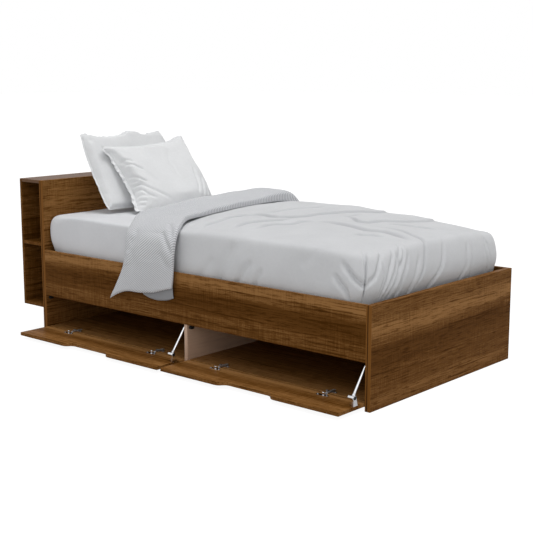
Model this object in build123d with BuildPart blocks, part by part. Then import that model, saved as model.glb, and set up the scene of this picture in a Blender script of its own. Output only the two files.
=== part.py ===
from build123d import *
import os
from math import atan2, cos, degrees, hypot, sin, radians

# Single platform bed: head at -X, foot at +X, storage doors on the -Y side, floor at z = 0.
# The origin is on the floor, under the middle of the bed. All sizes are in millimetres.

# Main sizes of the carcass
BED_WIDTH = 1045
CLEAR_LENGTH = 1905          # between the head panel and the foot panel
END_PANEL_T = 25
BOARD_T = 15
BOOKCASE_DEPTH = 150         # behind the head panel
HEAD_HEIGHT = 743
FOOT_HEIGHT = 409
RAIL_BOTTOM = 189
BOOKCASE_BOTTOM = 124
SHELF_TOP = 441
DIVIDER_T = 18
FLOOR_TOP = 33               # top of the storage floor
SLAT_TOP = 318
SLAT_T = 18
SLAT_WIDTH = 70
SLAT_COUNT = 13
CLEAT_SIZE = (20, 30)
EDGE_EASE = 0.8              # small chamfer on the edges of every board

# Places that follow from the main sizes
LENGTH = BOOKCASE_DEPTH + 2 * END_PANEL_T + CLEAR_LENGTH
FOOT_OUT = LENGTH / 2
FOOT_IN = FOOT_OUT - END_PANEL_T
HEAD_FRONT = FOOT_IN - CLEAR_LENGTH
HEAD_BACK = HEAD_FRONT - END_PANEL_T
CASE_BACK = HEAD_BACK - BOOKCASE_DEPTH
HALF_W = BED_WIDTH / 2
NEAR = -HALF_W
RAIL_IN = NEAR + BOARD_T
SLAT_BOTTOM = SLAT_TOP - SLAT_T
DIVIDER_X = (HEAD_FRONT + FOOT_IN) / 2
DIVIDER_LEFT = DIVIDER_X - DIVIDER_T / 2
DIVIDER_RIGHT = DIVIDER_X + DIVIDER_T / 2

# Drop-down doors: open they lie flat, closed they stand flush under the rail, on either side of the
# divider's front edge
DOOR_T = 15
DOOR_HEIGHT = 169
DOOR_END_GAP = 2
PIVOT_Y = NEAR + 4.5
PIVOT_Z = 22.5
DOOR_FACE_Z = PIVOT_Z + 10.5                 # inner face of the open door
HINGE_EDGE = PIVOT_Y + 4.5
FREE_EDGE = HINGE_EDGE - DOOR_HEIGHT
NOTCH_DEPTH = 30
NOTCH_WIDTH = 315
NOTCH_FLAT = 200
DIVIDER_FRONT = NEAR + 4
RAIL_CLEARANCE = 0.5         # between the rail and the divider that passes under it
FLOOR_FRONT = RAIL_IN + 4

# Hinges: a cup in the door turns on a pin in the end of a cranked arm
HINGE_INSET = 184            # from each end of a door
PIN_R = 1.2
PIN_PLAY = 0.05
SLOT_WIDTH = 15
SLOT_LENGTH = 23
SLOT_DEPTH = 13.4
CUP_WALL = 1
CUP_PLAY = 0.2
FLANGE_SIZE = (60, 18)
FLANGE_T = 1.2
FLANGE_SCREW_X = 22
FLANGE_FROM_EDGE = 29
LINK_SIZE = (9, 9, 13.5)     # upright link on the cup, beside the middle of the hinge
LINK_X = 7
LINK_FROM_EDGE = 28.5
ARM_WIDTH = 11
ARM_T = 2.5
EYE_R = 2.4
PLATE_T = 3
PLATE_WINGS = (54, 12)
PLATE_BODY = (14, 38)
PLATE_Y = NEAR + 36
PLATE_BODY_Y = NEAR + 40
PLATE_SCREW_X = 20
ARM_BACK = NEAR + 60
SCREW_HEAD = (3.2, 1.5)
SCREW_SHANK = (1.5, 10)

# Telescopic stays, in a plane beside the right-hand wall of each compartment
STAY_FOOT = (NEAR - 58, 65)                  # y, z of the lower pivot, door open
STAY_HEAD = (NEAR + 61, 226)                 # y, z of the upper pivot
STAY_FROM_WALL = 13.5
TUBE_R = 4.5
TUBE_LENGTH = 132
ROD_R = 2
ROD_LENGTH = 103
ROD_PLAY = 0.06
COLLAR_R = 5.2
CONE_R = 7
CONE_SPAN = (7, 20)
KNUCKLE_R = 8.5
KNUCKLE_LENGTH = 25
KNUCKLE_GAP = 1.5            # between the knuckle and the bracket
BRACKET_T = 2
BRACKET_FROM_WALL = 2.5
BUSH_R = 4.6
BUSH_HEAD = (7.4, 1)
ROD_EYE = (5.5, 6)
STUD_R = 2.5
STUD_FLANGE = (7, 2)
STUD_HEAD = (3.8, 1.5)

# Small stops for the closed doors
STOP_SIZE = (12, 20, 12)
STOP_Z = 174

# Knock-down fittings
CAM_R = 7.5
CAM_DEPTH = 12
CAM_INSET = 34
CAM_BOLT_R = 3
CAM_BOLT_IN_PANEL = 11
FITTING_PLAY = 0.3
DOWEL_R = 4
DOWEL_LENGTH = 36
DOWEL_IN_PANEL = 12
SCREW_Y = (-430, -160, 160, 430)
CASE_SCREW_R = 2.5
CASE_SCREW_LENGTH = 45

# Bedding
MATTRESS_X = (-873, 1012)
MATTRESS_HALF_W = 490
MATTRESS_BOTTOM = 319
MATTRESS_TOP = 575
MATTRESS_CROWN = 583
MATTRESS_CORNER_R = 45
DUVET_X = (-640, 1022)
DUVET_HEAD_X = (-262, -470)                  # head end of the cover, at its near and far sides
DUVET_HALF_W = 503
DUVET_BOTTOM = 396
DUVET_TOP = 608
DUVET_CROWN = 626
DUVET_PLAY = 2
FOLD_NEAR_X = (-330, -40)                    # fold-back band at its near end
FOLD_FAR_X = (-500, -130)                    # and at its far end
FOLD_NEAR_Y = -488
FOLD_FAR_Y = 478
FOLD_BASE = 590
FOLD_NEAR_TOP = 638
FOLD_FAR_TOP = 668
FLAP_T = 16
PILLOW_SIZE = (545, 396, 120)
PILLOW_DRAW_IN = 24
BACK_PILLOW = ((-780, -57, 774), 20)         # middle and lean from upright, in degrees
FRONT_PILLOW = ((-618, -12, 751), 35)

pieces = {}


def board(x, y, z):
    """A board that fills the given spans, with its edges eased."""
    with Locations(((x[0] + x[1]) / 2, (y[0] + y[1]) / 2, (z[0] + z[1]) / 2)):
        Box(x[1] - x[0], y[1] - y[0], z[1] - z[0])
    chamfer(edges(), EDGE_EASE)


def block(x, y, z):
    """A plain block that fills the given spans."""
    with Locations(((x[0] + x[1]) / 2, (y[0] + y[1]) / 2, (z[0] + z[1]) / 2)):
        Box(x[1] - x[0], y[1] - y[0], z[1] - z[0])


def round_bar(point, direction, radius, length, mode=Mode.ADD):
    """A round bar, or with Mode.SUBTRACT a bore, from a point along a direction."""
    with BuildSketch(Plane(origin=point, z_dir=direction)) as end:
        Circle(radius)
    extrude(end.sketch, amount=length, mode=mode)


# Joints of the long boards into the end panels: (y, z) of each cam bolt and dowel, with the side
# of the board that its cam lock is let into
RAIL_MID = NEAR + BOARD_T / 2
FAR_MID = -RAIL_MID
cam_places = [
    (RAIL_MID, 240, 1),
    (RAIL_MID, 360, 1),
    (FAR_MID, 120, -1),
    (FAR_MID, 350, -1),
    (0, 90, 1),
    (0, 240, 1),
]
dowel_places = [(RAIL_MID, 300), (FAR_MID, 235), (0, 165)]
panel_ends = [(HEAD_FRONT, 1), (FOOT_IN, -1)]


def end_panel_holes(face_x, inward):
    """Blind holes for the cam bolts and dowels in the inner face of an end panel."""
    for y, z, _ in cam_places:
        round_bar((face_x, y, z), (-inward, 0, 0), CAM_BOLT_R, CAM_BOLT_IN_PANEL, Mode.SUBTRACT)
    for y, z in dowel_places:
        round_bar((face_x, y, z), (-inward, 0, 0), DOWEL_R, DOWEL_IN_PANEL, Mode.SUBTRACT)


def long_board_holes(mid_y):
    """Holes for the bolts, cams and dowels in both ends of a long board."""
    for face_x, inward in panel_ends:
        for y, z, side in cam_places:
            if y != mid_y:
                continue
            round_bar((face_x, y, z), (inward, 0, 0), CAM_BOLT_R + FITTING_PLAY, CAM_INSET, Mode.SUBTRACT)
            cam_face = (face_x + inward * CAM_INSET, y + side * BOARD_T / 2, z)
            round_bar(cam_face, (0, -side, 0), CAM_R + FITTING_PLAY, CAM_DEPTH + FITTING_PLAY, Mode.SUBTRACT)
        for y, z in dowel_places:
            if y == mid_y:
                depth = DOWEL_LENGTH - DOWEL_IN_PANEL + 1
                round_bar((face_x, y, z), (inward, 0, 0), DOWEL_R, depth, Mode.SUBTRACT)


# Head and foot panels
with BuildPart() as head_panel:
    board((HEAD_BACK, HEAD_FRONT), (-HALF_W, HALF_W), (0, HEAD_HEIGHT))
    end_panel_holes(HEAD_FRONT, 1)
pieces["head_panel"] = head_panel

with BuildPart() as foot_panel:
    board((FOOT_IN, FOOT_OUT), (-HALF_W, HALF_W), (0, FOOT_HEIGHT))
    end_panel_holes(FOOT_IN, -1)
pieces["foot_panel"] = foot_panel

# Long boards between the end panels
with BuildPart() as near_side_rail:
    board((HEAD_FRONT, FOOT_IN), (NEAR, RAIL_IN), (RAIL_BOTTOM, FOOT_HEIGHT))
    long_board_holes(RAIL_MID)
pieces["near_side_rail"] = near_side_rail

with BuildPart() as far_side_panel:
    board((HEAD_FRONT, FOOT_IN), (-RAIL_IN, HALF_W), (0, FOOT_HEIGHT))
    long_board_holes(FAR_MID)
pieces["far_side_panel"] = far_side_panel

with BuildPart() as centre_partition:
    board((HEAD_FRONT, FOOT_IN), (-BOARD_T / 2, BOARD_T / 2), (0, SLAT_BOTTOM))
    long_board_holes(0)
pieces["centre_partition"] = centre_partition

with BuildPart() as cam_bolts:
    for face_x, inward in panel_ends:
        for y, z, _ in cam_places:
            start = (face_x - inward * CAM_BOLT_IN_PANEL, y, z)
            round_bar(start, (inward, 0, 0), CAM_BOLT_R, CAM_BOLT_IN_PANEL + CAM_INSET - CAM_R / 2)
pieces["cam_bolts"] = cam_bolts

with BuildPart() as cam_locks:
    for face_x, inward in panel_ends:
        for y, z, side in cam_places:
            cam_face = (face_x + inward * CAM_INSET, y + side * BOARD_T / 2, z)
            round_bar(cam_face, (0, -side, 0), CAM_R, CAM_DEPTH)
            bolt_way = (face_x, y, z)
            round_bar(bolt_way, (inward, 0, 0), CAM_BOLT_R + FITTING_PLAY, CAM_INSET, Mode.SUBTRACT)
pieces["cam_locks"] = cam_locks

with BuildPart() as dowels:
    for face_x, inward in panel_ends:
        for y, z in dowel_places:
            round_bar((face_x - inward * DOWEL_IN_PANEL, y, z), (inward, 0, 0), DOWEL_R, DOWEL_LENGTH)
pieces["dowels"] = dowels

# Compartment divider and storage floors
with BuildPart() as compartment_divider:
    board((DIVIDER_LEFT, DIVIDER_RIGHT), (DIVIDER_FRONT, -BOARD_T / 2), (0, SLAT_BOTTOM))
    with Locations((DIVIDER_X, RAIL_IN, SLAT_BOTTOM)):
        Box(2 * DIVIDER_T, 2 * CLEAT_SIZE[0] + 2, 2 * CLEAT_SIZE[1] + 2, mode=Mode.SUBTRACT)
    rail_reach = RAIL_IN + RAIL_CLEARANCE - NEAR
    rail_low = RAIL_BOTTOM - RAIL_CLEARANCE
    with Locations((DIVIDER_X, NEAR + rail_reach / 2, (rail_low + FOOT_HEIGHT) / 2)):
        Box(2 * DIVIDER_T, rail_reach, FOOT_HEIGHT - rail_low, mode=Mode.SUBTRACT)
pieces["compartment_divider"] = compartment_divider

hinge_from_wall = DOOR_END_GAP + HINGE_INSET
left_hinges = (HEAD_FRONT + hinge_from_wall, DIVIDER_LEFT - hinge_from_wall)
right_hinges = (DIVIDER_RIGHT + hinge_from_wall, FOOT_IN - hinge_from_wall)
storage = {
    "left": (HEAD_FRONT, DIVIDER_LEFT, left_hinges),
    "right": (DIVIDER_RIGHT, FOOT_IN, right_hinges),
}
for side, (left_x, right_x, hinge_xs) in storage.items():
    with BuildPart() as storage_floor:
        board((left_x, right_x), (FLOOR_FRONT, -BOARD_T / 2), (FLOOR_TOP - BOARD_T, FLOOR_TOP))
        for hinge_x in hinge_xs:
            for sign in (-1, 1):
                place = (hinge_x + sign * PLATE_SCREW_X, PLATE_Y, FLOOR_TOP)
                round_bar(place, (0, 0, -1), SCREW_SHANK[0], SCREW_SHANK[1], Mode.SUBTRACT)
    pieces[f"{side}_storage_floor"] = storage_floor

# Slats on their cleats
cleat_t, cleat_h = CLEAT_SIZE
for side, sign in (("near", -1), ("far", 1)):
    outer = sign * -RAIL_IN
    inner = outer - sign * cleat_t
    with BuildPart() as cleat:
        board((HEAD_FRONT + 5, FOOT_IN - 5), sorted((outer, inner)), (SLAT_BOTTOM - cleat_h, SLAT_BOTTOM))
    pieces[f"{side}_slat_cleat"] = cleat

slat_pitch = (CLEAR_LENGTH - 2 * SLAT_WIDTH) / (SLAT_COUNT - 1)
slat_length = -2 * RAIL_IN - 6
with BuildPart() as bed_slats:
    with BuildSketch(Plane.XY.offset(SLAT_BOTTOM)):
        with Locations((DIVIDER_X, 0)):
            with GridLocations(slat_pitch, 1, SLAT_COUNT, 1):
                RectangleRounded(SLAT_WIDTH, slat_length, 4)
    extrude(amount=SLAT_T)
pieces["bed_slats"] = bed_slats

# Bookcase behind the head panel, open at both ends of the bed's width
case_inner = CASE_BACK + BOARD_T
shelf_rows = (BOOKCASE_BOTTOM + BOARD_T / 2, SHELF_TOP - BOARD_T / 2, HEAD_HEIGHT - BOARD_T / 2)


def case_screw_holes(z, y_from, y_to):
    """Pilot holes for the bookcase screws in the back edge of a board."""
    for y in SCREW_Y:
        if y_from < y < y_to:
            depth = CASE_SCREW_LENGTH - BOARD_T
            round_bar((case_inner, y, z), (1, 0, 0), CASE_SCREW_R, depth, Mode.SUBTRACT)


with BuildPart() as bookcase_back:
    board((CASE_BACK, case_inner), (-HALF_W, HALF_W), (BOOKCASE_BOTTOM, HEAD_HEIGHT))
    for z in shelf_rows:
        for y in SCREW_Y:
            round_bar((CASE_BACK, y, z), (1, 0, 0), CASE_SCREW_R, BOARD_T, Mode.SUBTRACT)
pieces["bookcase_back"] = bookcase_back

case_boards = {
    "bookcase_bottom": (shelf_rows[0], -HALF_W, HALF_W),
    "bookcase_near_shelf": (shelf_rows[1], -HALF_W, -BOARD_T / 2),
    "bookcase_far_shelf": (shelf_rows[1], BOARD_T / 2, HALF_W),
    "bookcase_top": (shelf_rows[2], -HALF_W, HALF_W),
}
for name, (z, y_from, y_to) in case_boards.items():
    with BuildPart() as case_board:
        board((case_inner, HEAD_BACK), (y_from, y_to), (z - BOARD_T / 2, z + BOARD_T / 2))
        case_screw_holes(z, y_from, y_to)
    pieces[name] = case_board

with BuildPart() as bookcase_partition:
    clear_z = (BOOKCASE_BOTTOM + BOARD_T, HEAD_HEIGHT - BOARD_T)
    board((case_inner, HEAD_BACK), (-BOARD_T / 2, BOARD_T / 2), clear_z)
pieces["bookcase_partition"] = bookcase_partition

with BuildPart() as bookcase_screws:
    for z in shelf_rows:
        for y in SCREW_Y:
            round_bar((CASE_BACK, y, z), (1, 0, 0), CASE_SCREW_R, CASE_SCREW_LENGTH)
pieces["bookcase_screws"] = bookcase_screws

# Fixed halves of the hinges, on the storage floors
all_hinges = left_hinges + right_hinges
arm_low = FLOOR_TOP + PLATE_T
arm_high = arm_low + ARM_T
arm_front = PIVOT_Y - ARM_T / 2

with BuildPart() as hinge_plates:
    with BuildSketch(Plane.XY.offset(FLOOR_TOP)):
        for hinge_x in all_hinges:
            with Locations((hinge_x, PLATE_Y)):
                SlotOverall(*PLATE_WINGS)
            with Locations((hinge_x, PLATE_BODY_Y)):
                Rectangle(*PLATE_BODY)
            with Locations((hinge_x - PLATE_SCREW_X, PLATE_Y), (hinge_x + PLATE_SCREW_X, PLATE_Y)):
                Circle(SCREW_SHANK[0], mode=Mode.SUBTRACT)
    extrude(amount=PLATE_T)
pieces["hinge_plates"] = hinge_plates

with BuildPart() as hinge_plate_screws:
    for hinge_x in all_hinges:
        for sign in (-1, 1):
            top = (hinge_x + sign * PLATE_SCREW_X, PLATE_Y, arm_low)
            round_bar(top, (0, 0, 1), *SCREW_HEAD)
            round_bar(top, (0, 0, -1), SCREW_SHANK[0], SCREW_SHANK[1])
pieces["hinge_plate_screws"] = hinge_plate_screws

with BuildPart() as hinge_arms:
    for hinge_x in all_hinges:
        with BuildSketch(Plane.YZ.offset(hinge_x - ARM_WIDTH / 2)) as arm_outline:
            with BuildLine():
                Polyline(
                    (ARM_BACK, arm_low),
                    (ARM_BACK, arm_high),
                    (arm_front, arm_high),
                    (arm_front, PIVOT_Z),
                    (arm_front + ARM_T, PIVOT_Z),
                    (arm_front + ARM_T, arm_low),
                    close=True,
                )
            make_face()
            bend = arm_outline.vertices().group_by(Axis.Z)[-1].sort_by(Axis.Y)[0]
            fillet(bend, ARM_T)
            with Locations((PIVOT_Y, PIVOT_Z)):
                Circle(EYE_R)
                Circle(PIN_R + PIN_PLAY, mode=Mode.SUBTRACT)
        extrude(amount=ARM_WIDTH)
pieces["hinge_arms"] = hinge_arms

# Stops that the closed doors rest against, on the head panel and on the divider
with BuildPart() as door_stops:
    for wall_x in (HEAD_FRONT, DIVIDER_RIGHT):
        stop_x = (wall_x, wall_x + STOP_SIZE[0])
        stop_y = (RAIL_IN + 0.5, RAIL_IN + 0.5 + STOP_SIZE[1])
        block(stop_x, stop_y, (STOP_Z - STOP_SIZE[2] / 2, STOP_Z + STOP_SIZE[2] / 2))
    stop_edges = door_stops.edges().filter_by(Axis.X)
    fillet(stop_edges, 3)
pieces["door_stops"] = door_stops

# Doors with the moving halves of the hinges and the feet of the stays
door_spans = {
    "left": (HEAD_FRONT + DOOR_END_GAP, DIVIDER_LEFT - DOOR_END_GAP, DIVIDER_LEFT, left_hinges),
    "right": (DIVIDER_RIGHT + DOOR_END_GAP, FOOT_IN - DOOR_END_GAP, FOOT_IN, right_hinges),
}
foot_y, foot_z = STAY_FOOT
head_y, head_z = STAY_HEAD
stay_length = hypot(head_y - foot_y, head_z - foot_z)
stay_way = (0, (head_y - foot_y) / stay_length, (head_z - foot_z) / stay_length)
slot_low = DOOR_FACE_Z - SLOT_DEPTH
cup_half = SLOT_WIDTH / 2 - CUP_PLAY
flange_y = HINGE_EDGE - FLANGE_FROM_EDGE
link_y = HINGE_EDGE - LINK_FROM_EDGE

for side, (left_x, right_x, wall_x, hinge_xs) in door_spans.items():
    middle_x = (left_x + right_x) / 2
    with BuildPart() as door:
        with BuildSketch(Plane.XY.offset(DOOR_FACE_Z)):
            with BuildLine():
                Polyline(
                    (middle_x - NOTCH_WIDTH / 2, FREE_EDGE),
                    (left_x, FREE_EDGE),
                    (left_x, HINGE_EDGE),
                    (right_x, HINGE_EDGE),
                    (right_x, FREE_EDGE),
                    (middle_x + NOTCH_WIDTH / 2, FREE_EDGE),
                )
                ramp_x = (NOTCH_WIDTH + NOTCH_FLAT) / 4
                for sign in (-1, 1):
                    outer_end = (middle_x + sign * NOTCH_WIDTH / 2, FREE_EDGE)
                    half_way = (middle_x + sign * ramp_x, FREE_EDGE + NOTCH_DEPTH / 2)
                    inner_end = (middle_x + sign * NOTCH_FLAT / 2, FREE_EDGE + NOTCH_DEPTH)
                    TangentArc(outer_end, half_way, tangent=(-sign, 0))
                    TangentArc(inner_end, half_way, tangent=(sign, 0))
                Line(
                    (middle_x - NOTCH_FLAT / 2, FREE_EDGE + NOTCH_DEPTH),
                    (middle_x + NOTCH_FLAT / 2, FREE_EDGE + NOTCH_DEPTH),
                )
            make_face()
        extrude(amount=-DOOR_T)
        chamfer(door.edges(), EDGE_EASE)
        with BuildSketch(Plane.XY.offset(DOOR_FACE_Z)):
            for hinge_x in hinge_xs:
                with Locations((hinge_x, HINGE_EDGE - SLOT_LENGTH / 2)):
                    Rectangle(SLOT_WIDTH, SLOT_LENGTH)
        extrude(amount=-SLOT_DEPTH, mode=Mode.SUBTRACT)
        for hinge_x in hinge_xs:
            for sign in (-1, 1):
                place = (hinge_x + sign * FLANGE_SCREW_X, flange_y, DOOR_FACE_Z)
                round_bar(place, (0, 0, -1), SCREW_SHANK[0], SCREW_SHANK[1], Mode.SUBTRACT)
    pieces[f"{side}_door"] = door

    with BuildPart() as hinge_cups:
        with BuildSketch(Plane.XY.offset(DOOR_FACE_Z)):
            for hinge_x in hinge_xs:
                with Locations((hinge_x, flange_y)):
                    SlotOverall(*FLANGE_SIZE)
                with Locations((hinge_x, HINGE_EDGE)):
                    way_in = (2 * (cup_half - CUP_WALL), 2 * (SLOT_LENGTH - 2 * CUP_WALL))
                    Rectangle(*way_in, mode=Mode.SUBTRACT)
                with Locations((hinge_x - FLANGE_SCREW_X, flange_y), (hinge_x + FLANGE_SCREW_X, flange_y)):
                    Circle(SCREW_SHANK[0], mode=Mode.SUBTRACT)
        extrude(amount=FLANGE_T)
        cup_back = HINGE_EDGE - SLOT_LENGTH + CUP_PLAY
        for hinge_x in hinge_xs:
            block(
                (hinge_x - cup_half, hinge_x + cup_half),
                (cup_back, HINGE_EDGE - EDGE_EASE),
                (slot_low + CUP_PLAY, DOOR_FACE_Z),
            )
            with BuildSketch(Plane.YZ.offset(hinge_x + LINK_X - LINK_SIZE[0] / 2)):
                with Locations((link_y, DOOR_FACE_Z + LINK_SIZE[2] / 2)):
                    link_side = Rectangle(LINK_SIZE[1], LINK_SIZE[2])
                fillet(link_side.vertices().group_by(Axis.Z)[-1], 3)
            extrude(amount=LINK_SIZE[0])
        with BuildSketch(Plane.XY.offset(slot_low)):
            for hinge_x in hinge_xs:
                with Locations((hinge_x, HINGE_EDGE)):
                    Rectangle(2 * (cup_half - CUP_WALL), 2 * (SLOT_LENGTH - 2 * CUP_WALL))
        extrude(amount=SLOT_DEPTH, mode=Mode.SUBTRACT)
        for hinge_x in hinge_xs:
            start = (hinge_x - SLOT_WIDTH / 2, PIVOT_Y, PIVOT_Z)
            round_bar(start, (1, 0, 0), PIN_R, SLOT_WIDTH, Mode.SUBTRACT)
    pieces[f"{side}_hinge_cups"] = hinge_cups

    with BuildPart() as hinge_pins:
        for hinge_x in hinge_xs:
            round_bar((hinge_x - cup_half, PIVOT_Y, PIVOT_Z), (1, 0, 0), PIN_R, 2 * cup_half)
    pieces[f"{side}_hinge_pins"] = hinge_pins

    with BuildPart() as cup_screws:
        for hinge_x in hinge_xs:
            for sign in (-1, 1):
                top = (hinge_x + sign * FLANGE_SCREW_X, flange_y, DOOR_FACE_Z + FLANGE_T)
                round_bar(top, (0, 0, 1), *SCREW_HEAD)
                round_bar(top, (0, 0, -1), SCREW_SHANK[0], SCREW_SHANK[1])
    pieces[f"{side}_cup_screws"] = cup_screws

    # Upright bracket on the door, with a lip along its front and a foot along its base
    plate_right = wall_x - BRACKET_FROM_WALL
    plate_left = plate_right - BRACKET_T
    with BuildPart() as stay_bracket:
        with BuildSketch(Plane.YZ.offset(plate_left)):
            with BuildLine():
                Polyline(
                    (foot_y - 9.5, DOOR_FACE_Z),
                    (foot_y + 17.5, DOOR_FACE_Z),
                    (foot_y + 8, foot_z + 4),
                    (foot_y + 3.5, foot_z + 9),
                    (foot_y - 3.5, foot_z + 9),
                    (foot_y - 8, foot_z + 4),
                    close=True,
                )
            make_face()
            with Locations((foot_y, foot_z)):
                Circle(BUSH_R, mode=Mode.SUBTRACT)
        extrude(amount=BRACKET_T)
        block((plate_left - 7, plate_left), (foot_y - 9.5, foot_y - 8), (DOOR_FACE_Z, foot_z - 12))
        block((plate_left - 9, plate_left), (foot_y - 8, foot_y + 15), (DOOR_FACE_Z, DOOR_FACE_Z + 1.5))
    pieces[f"{side}_stay_bracket"] = stay_bracket

    with BuildPart() as stay_bush:
        round_bar((plate_left - 0.2, foot_y, foot_z), (1, 0, 0), BUSH_R, BRACKET_T + 0.2)
        round_bar((plate_right, foot_y, foot_z), (1, 0, 0), *BUSH_HEAD)
    pieces[f"{side}_stay_bush"] = stay_bush

    # Stay: the knuckle, cone and tube at the door's end, the thin rod at the wall's end
    stay_x = wall_x - STAY_FROM_WALL
    stay_plane = Plane(origin=(stay_x, foot_y, foot_z), x_dir=(1, 0, 0), z_dir=stay_way)
    with BuildPart() as stay_tube:
        knuckle_right = (plate_left - KNUCKLE_GAP, foot_y, foot_z)
        round_bar(knuckle_right, (-1, 0, 0), KNUCKLE_R, KNUCKLE_LENGTH)
        chamfer(stay_tube.edges(), 1)
        with BuildSketch(stay_plane.offset(CONE_SPAN[0])):
            Circle(CONE_R)
        with BuildSketch(stay_plane.offset(CONE_SPAN[1])):
            Circle(TUBE_R)
        loft()
        with BuildSketch(stay_plane.offset(CONE_SPAN[1])):
            Circle(COLLAR_R)
        extrude(amount=3)
        with BuildSketch(stay_plane.offset(CONE_SPAN[1])):
            Circle(TUBE_R)
        extrude(amount=TUBE_LENGTH - CONE_SPAN[1])
        with BuildSketch(stay_plane.offset(TUBE_LENGTH)):
            Circle(ROD_R + ROD_PLAY)
        extrude(amount=CONE_SPAN[1] - TUBE_LENGTH, mode=Mode.SUBTRACT)
    pieces[f"{side}_stay_tube"] = stay_tube

    with BuildPart() as stay_rod:
        eye_r, eye_width = ROD_EYE
        round_bar((stay_x - eye_width / 2, head_y, head_z), (1, 0, 0), eye_r, eye_width)
        with BuildSketch(stay_plane.offset(stay_length - ROD_LENGTH)):
            Circle(ROD_R)
        extrude(amount=ROD_LENGTH)
        stud_way = (stay_x - eye_width, head_y, head_z)
        round_bar(stud_way, (1, 0, 0), STUD_R + PIN_PLAY, 2 * eye_width, Mode.SUBTRACT)
    pieces[f"{side}_stay_rod"] = stay_rod

with BuildPart() as stay_studs:
    for wall_x in (DIVIDER_LEFT, FOOT_IN):
        wall_point = (wall_x, head_y, head_z)
        round_bar(wall_point, (-1, 0, 0), *STUD_FLANGE)
        head_face = STAY_FROM_WALL + ROD_EYE[1] / 2 + 0.4
        round_bar(wall_point, (-1, 0, 0), STUD_R, head_face)
        round_bar((wall_x - head_face, head_y, head_z), (-1, 0, 0), *STUD_HEAD)
pieces["stay_studs"] = stay_studs


# Bedding: lofts through rounded outlines, one level after another
def soft_level(x, half_w, z, inset, corner):
    """One outline of a soft block: a rounded rectangle, drawn in by an inset, at height z."""
    width = x[1] - x[0] - 2 * inset
    with BuildSketch(Plane.XY.offset(z)) as outline:
        with Locations(((x[0] + x[1]) / 2, 0)):
            RectangleRounded(width, 2 * (half_w - inset), corner)
    return outline.sketch


def mattress_form(grow):
    """The mattress with its bulging sides, rounded upper edge and crowned top, grown all round."""
    x = (MATTRESS_X[0] - grow, MATTRESS_X[1] + grow)
    half_w = MATTRESS_HALF_W + grow
    corner = MATTRESS_CORNER_R + grow
    levels = [
        (MATTRESS_BOTTOM - grow, 14),
        (MATTRESS_BOTTOM + 60, 2),
        (MATTRESS_TOP - 90, 0),
        (MATTRESS_TOP - 30, 5),
        (MATTRESS_TOP - 8 + grow, 20),
        (MATTRESS_TOP + grow, 45),
        (MATTRESS_CROWN + grow, 300),
    ]
    loft([soft_level(x, half_w, z, inset, corner) for z, inset in levels], ruled=True)


with BuildPart() as mattress:
    mattress_form(0)
pieces["mattress"] = mattress

# Room that the cover leaves for the mattress
with BuildPart() as mattress_room:
    mattress_form(DUVET_PLAY)

# Duvet: a crowned cover that is tucked in inside the rails, turned back at its head end, with the
# turned-back band hanging over the near rail
flap_rows = [
    (618, -476, (-320, -60), 1),
    (588, -496, (-312, -36), 2),
    (540, -522, (-300, 10), 3),
    (470, -537, (-284, 34), 4),
    (412, -543, (-294, 30), 5),
    (330, -544, (-338, 20), 6),
    (236, -544, (-396, 8), 6),
]
duvet_levels = [
    (DUVET_BOTTOM, 6),
    (470, 0),
    (545, 2),
    (585, 22),
    (DUVET_TOP, 60),
    (DUVET_CROWN, 300),
]
with BuildPart() as duvet:
    loft([soft_level(DUVET_X, DUVET_HALF_W, z, inset, 60) for z, inset in duvet_levels], ruled=True)
    add(mattress_room.part, mode=Mode.SUBTRACT)
    head_slant = (DUVET_HEAD_X[1] - DUVET_HEAD_X[0]) / (2 * DUVET_HALF_W)
    head_middle = sum(DUVET_HEAD_X) / 2
    with BuildSketch(Plane.XY.offset(MATTRESS_BOTTOM)):
        with BuildLine():
            Polyline(
                (-800, -600),
                (head_middle - 600 * head_slant, -600),
                (head_middle + 600 * head_slant, 600),
                (-800, 600),
                close=True,
            )
        make_face()
    extrude(amount=DUVET_CROWN, mode=Mode.SUBTRACT)
    fold_ends = [
        (FOLD_NEAR_Y, FOLD_NEAR_X, FOLD_NEAR_TOP),
        (FOLD_FAR_Y, FOLD_FAR_X, FOLD_FAR_TOP),
    ]
    for y, (x_head, x_foot), top in fold_ends:
        with BuildSketch(Plane.XZ.offset(-y)):
            with BuildLine():
                Line((x_head + 12, FOLD_BASE), (x_foot - 12, FOLD_BASE))
                ThreePointArc((x_foot - 12, FOLD_BASE), (x_foot, FOLD_BASE + 16), (x_foot - 30, top - 4))
                ThreePointArc((x_foot - 30, top - 4), ((x_head + x_foot) / 2, top + 3), (x_head + 40, top))
                ThreePointArc((x_head + 40, top), (x_head, FOLD_BASE + 22), (x_head + 12, FOLD_BASE))
            make_face()
    loft(ruled=True)
    for z, y, (x_left, x_right), wave in flap_rows:
        with BuildSketch(Plane.XY.offset(z)):
            third = (x_right - x_left) / 3
            marks = [x_left + third * step for step in range(4)]
            front = y - FLAP_T / 2
            back = y + FLAP_T / 2
            with BuildLine():
                for step in range(3):
                    crest_y = front + wave if step == 1 else front - wave
                    crest_x = (marks[step] + marks[step + 1]) / 2
                    ThreePointArc((marks[step], front), (crest_x, crest_y), (marks[step + 1], front))
                Line((x_right, front), (x_right, back))
                Line((x_right, back), (x_left, back))
                Line((x_left, back), (x_left, front))
            make_face()
    loft(ruled=True)
    with BuildSketch(Plane.XZ.offset(480)):
        with BuildLine():
            Polyline((-300, 200), (-420, 200), (-420, 236), (-392, 244))
            ThreePointArc((-392, 244), (-290, 282), (-205, 298))
            ThreePointArc((-205, 298), (-95, 270), (20, 302))
            Polyline((20, 302), (60, 302), (60, 200), (-300, 200))
        make_face()
    extrude(amount=120, mode=Mode.SUBTRACT)
pieces["duvet"] = duvet


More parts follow.
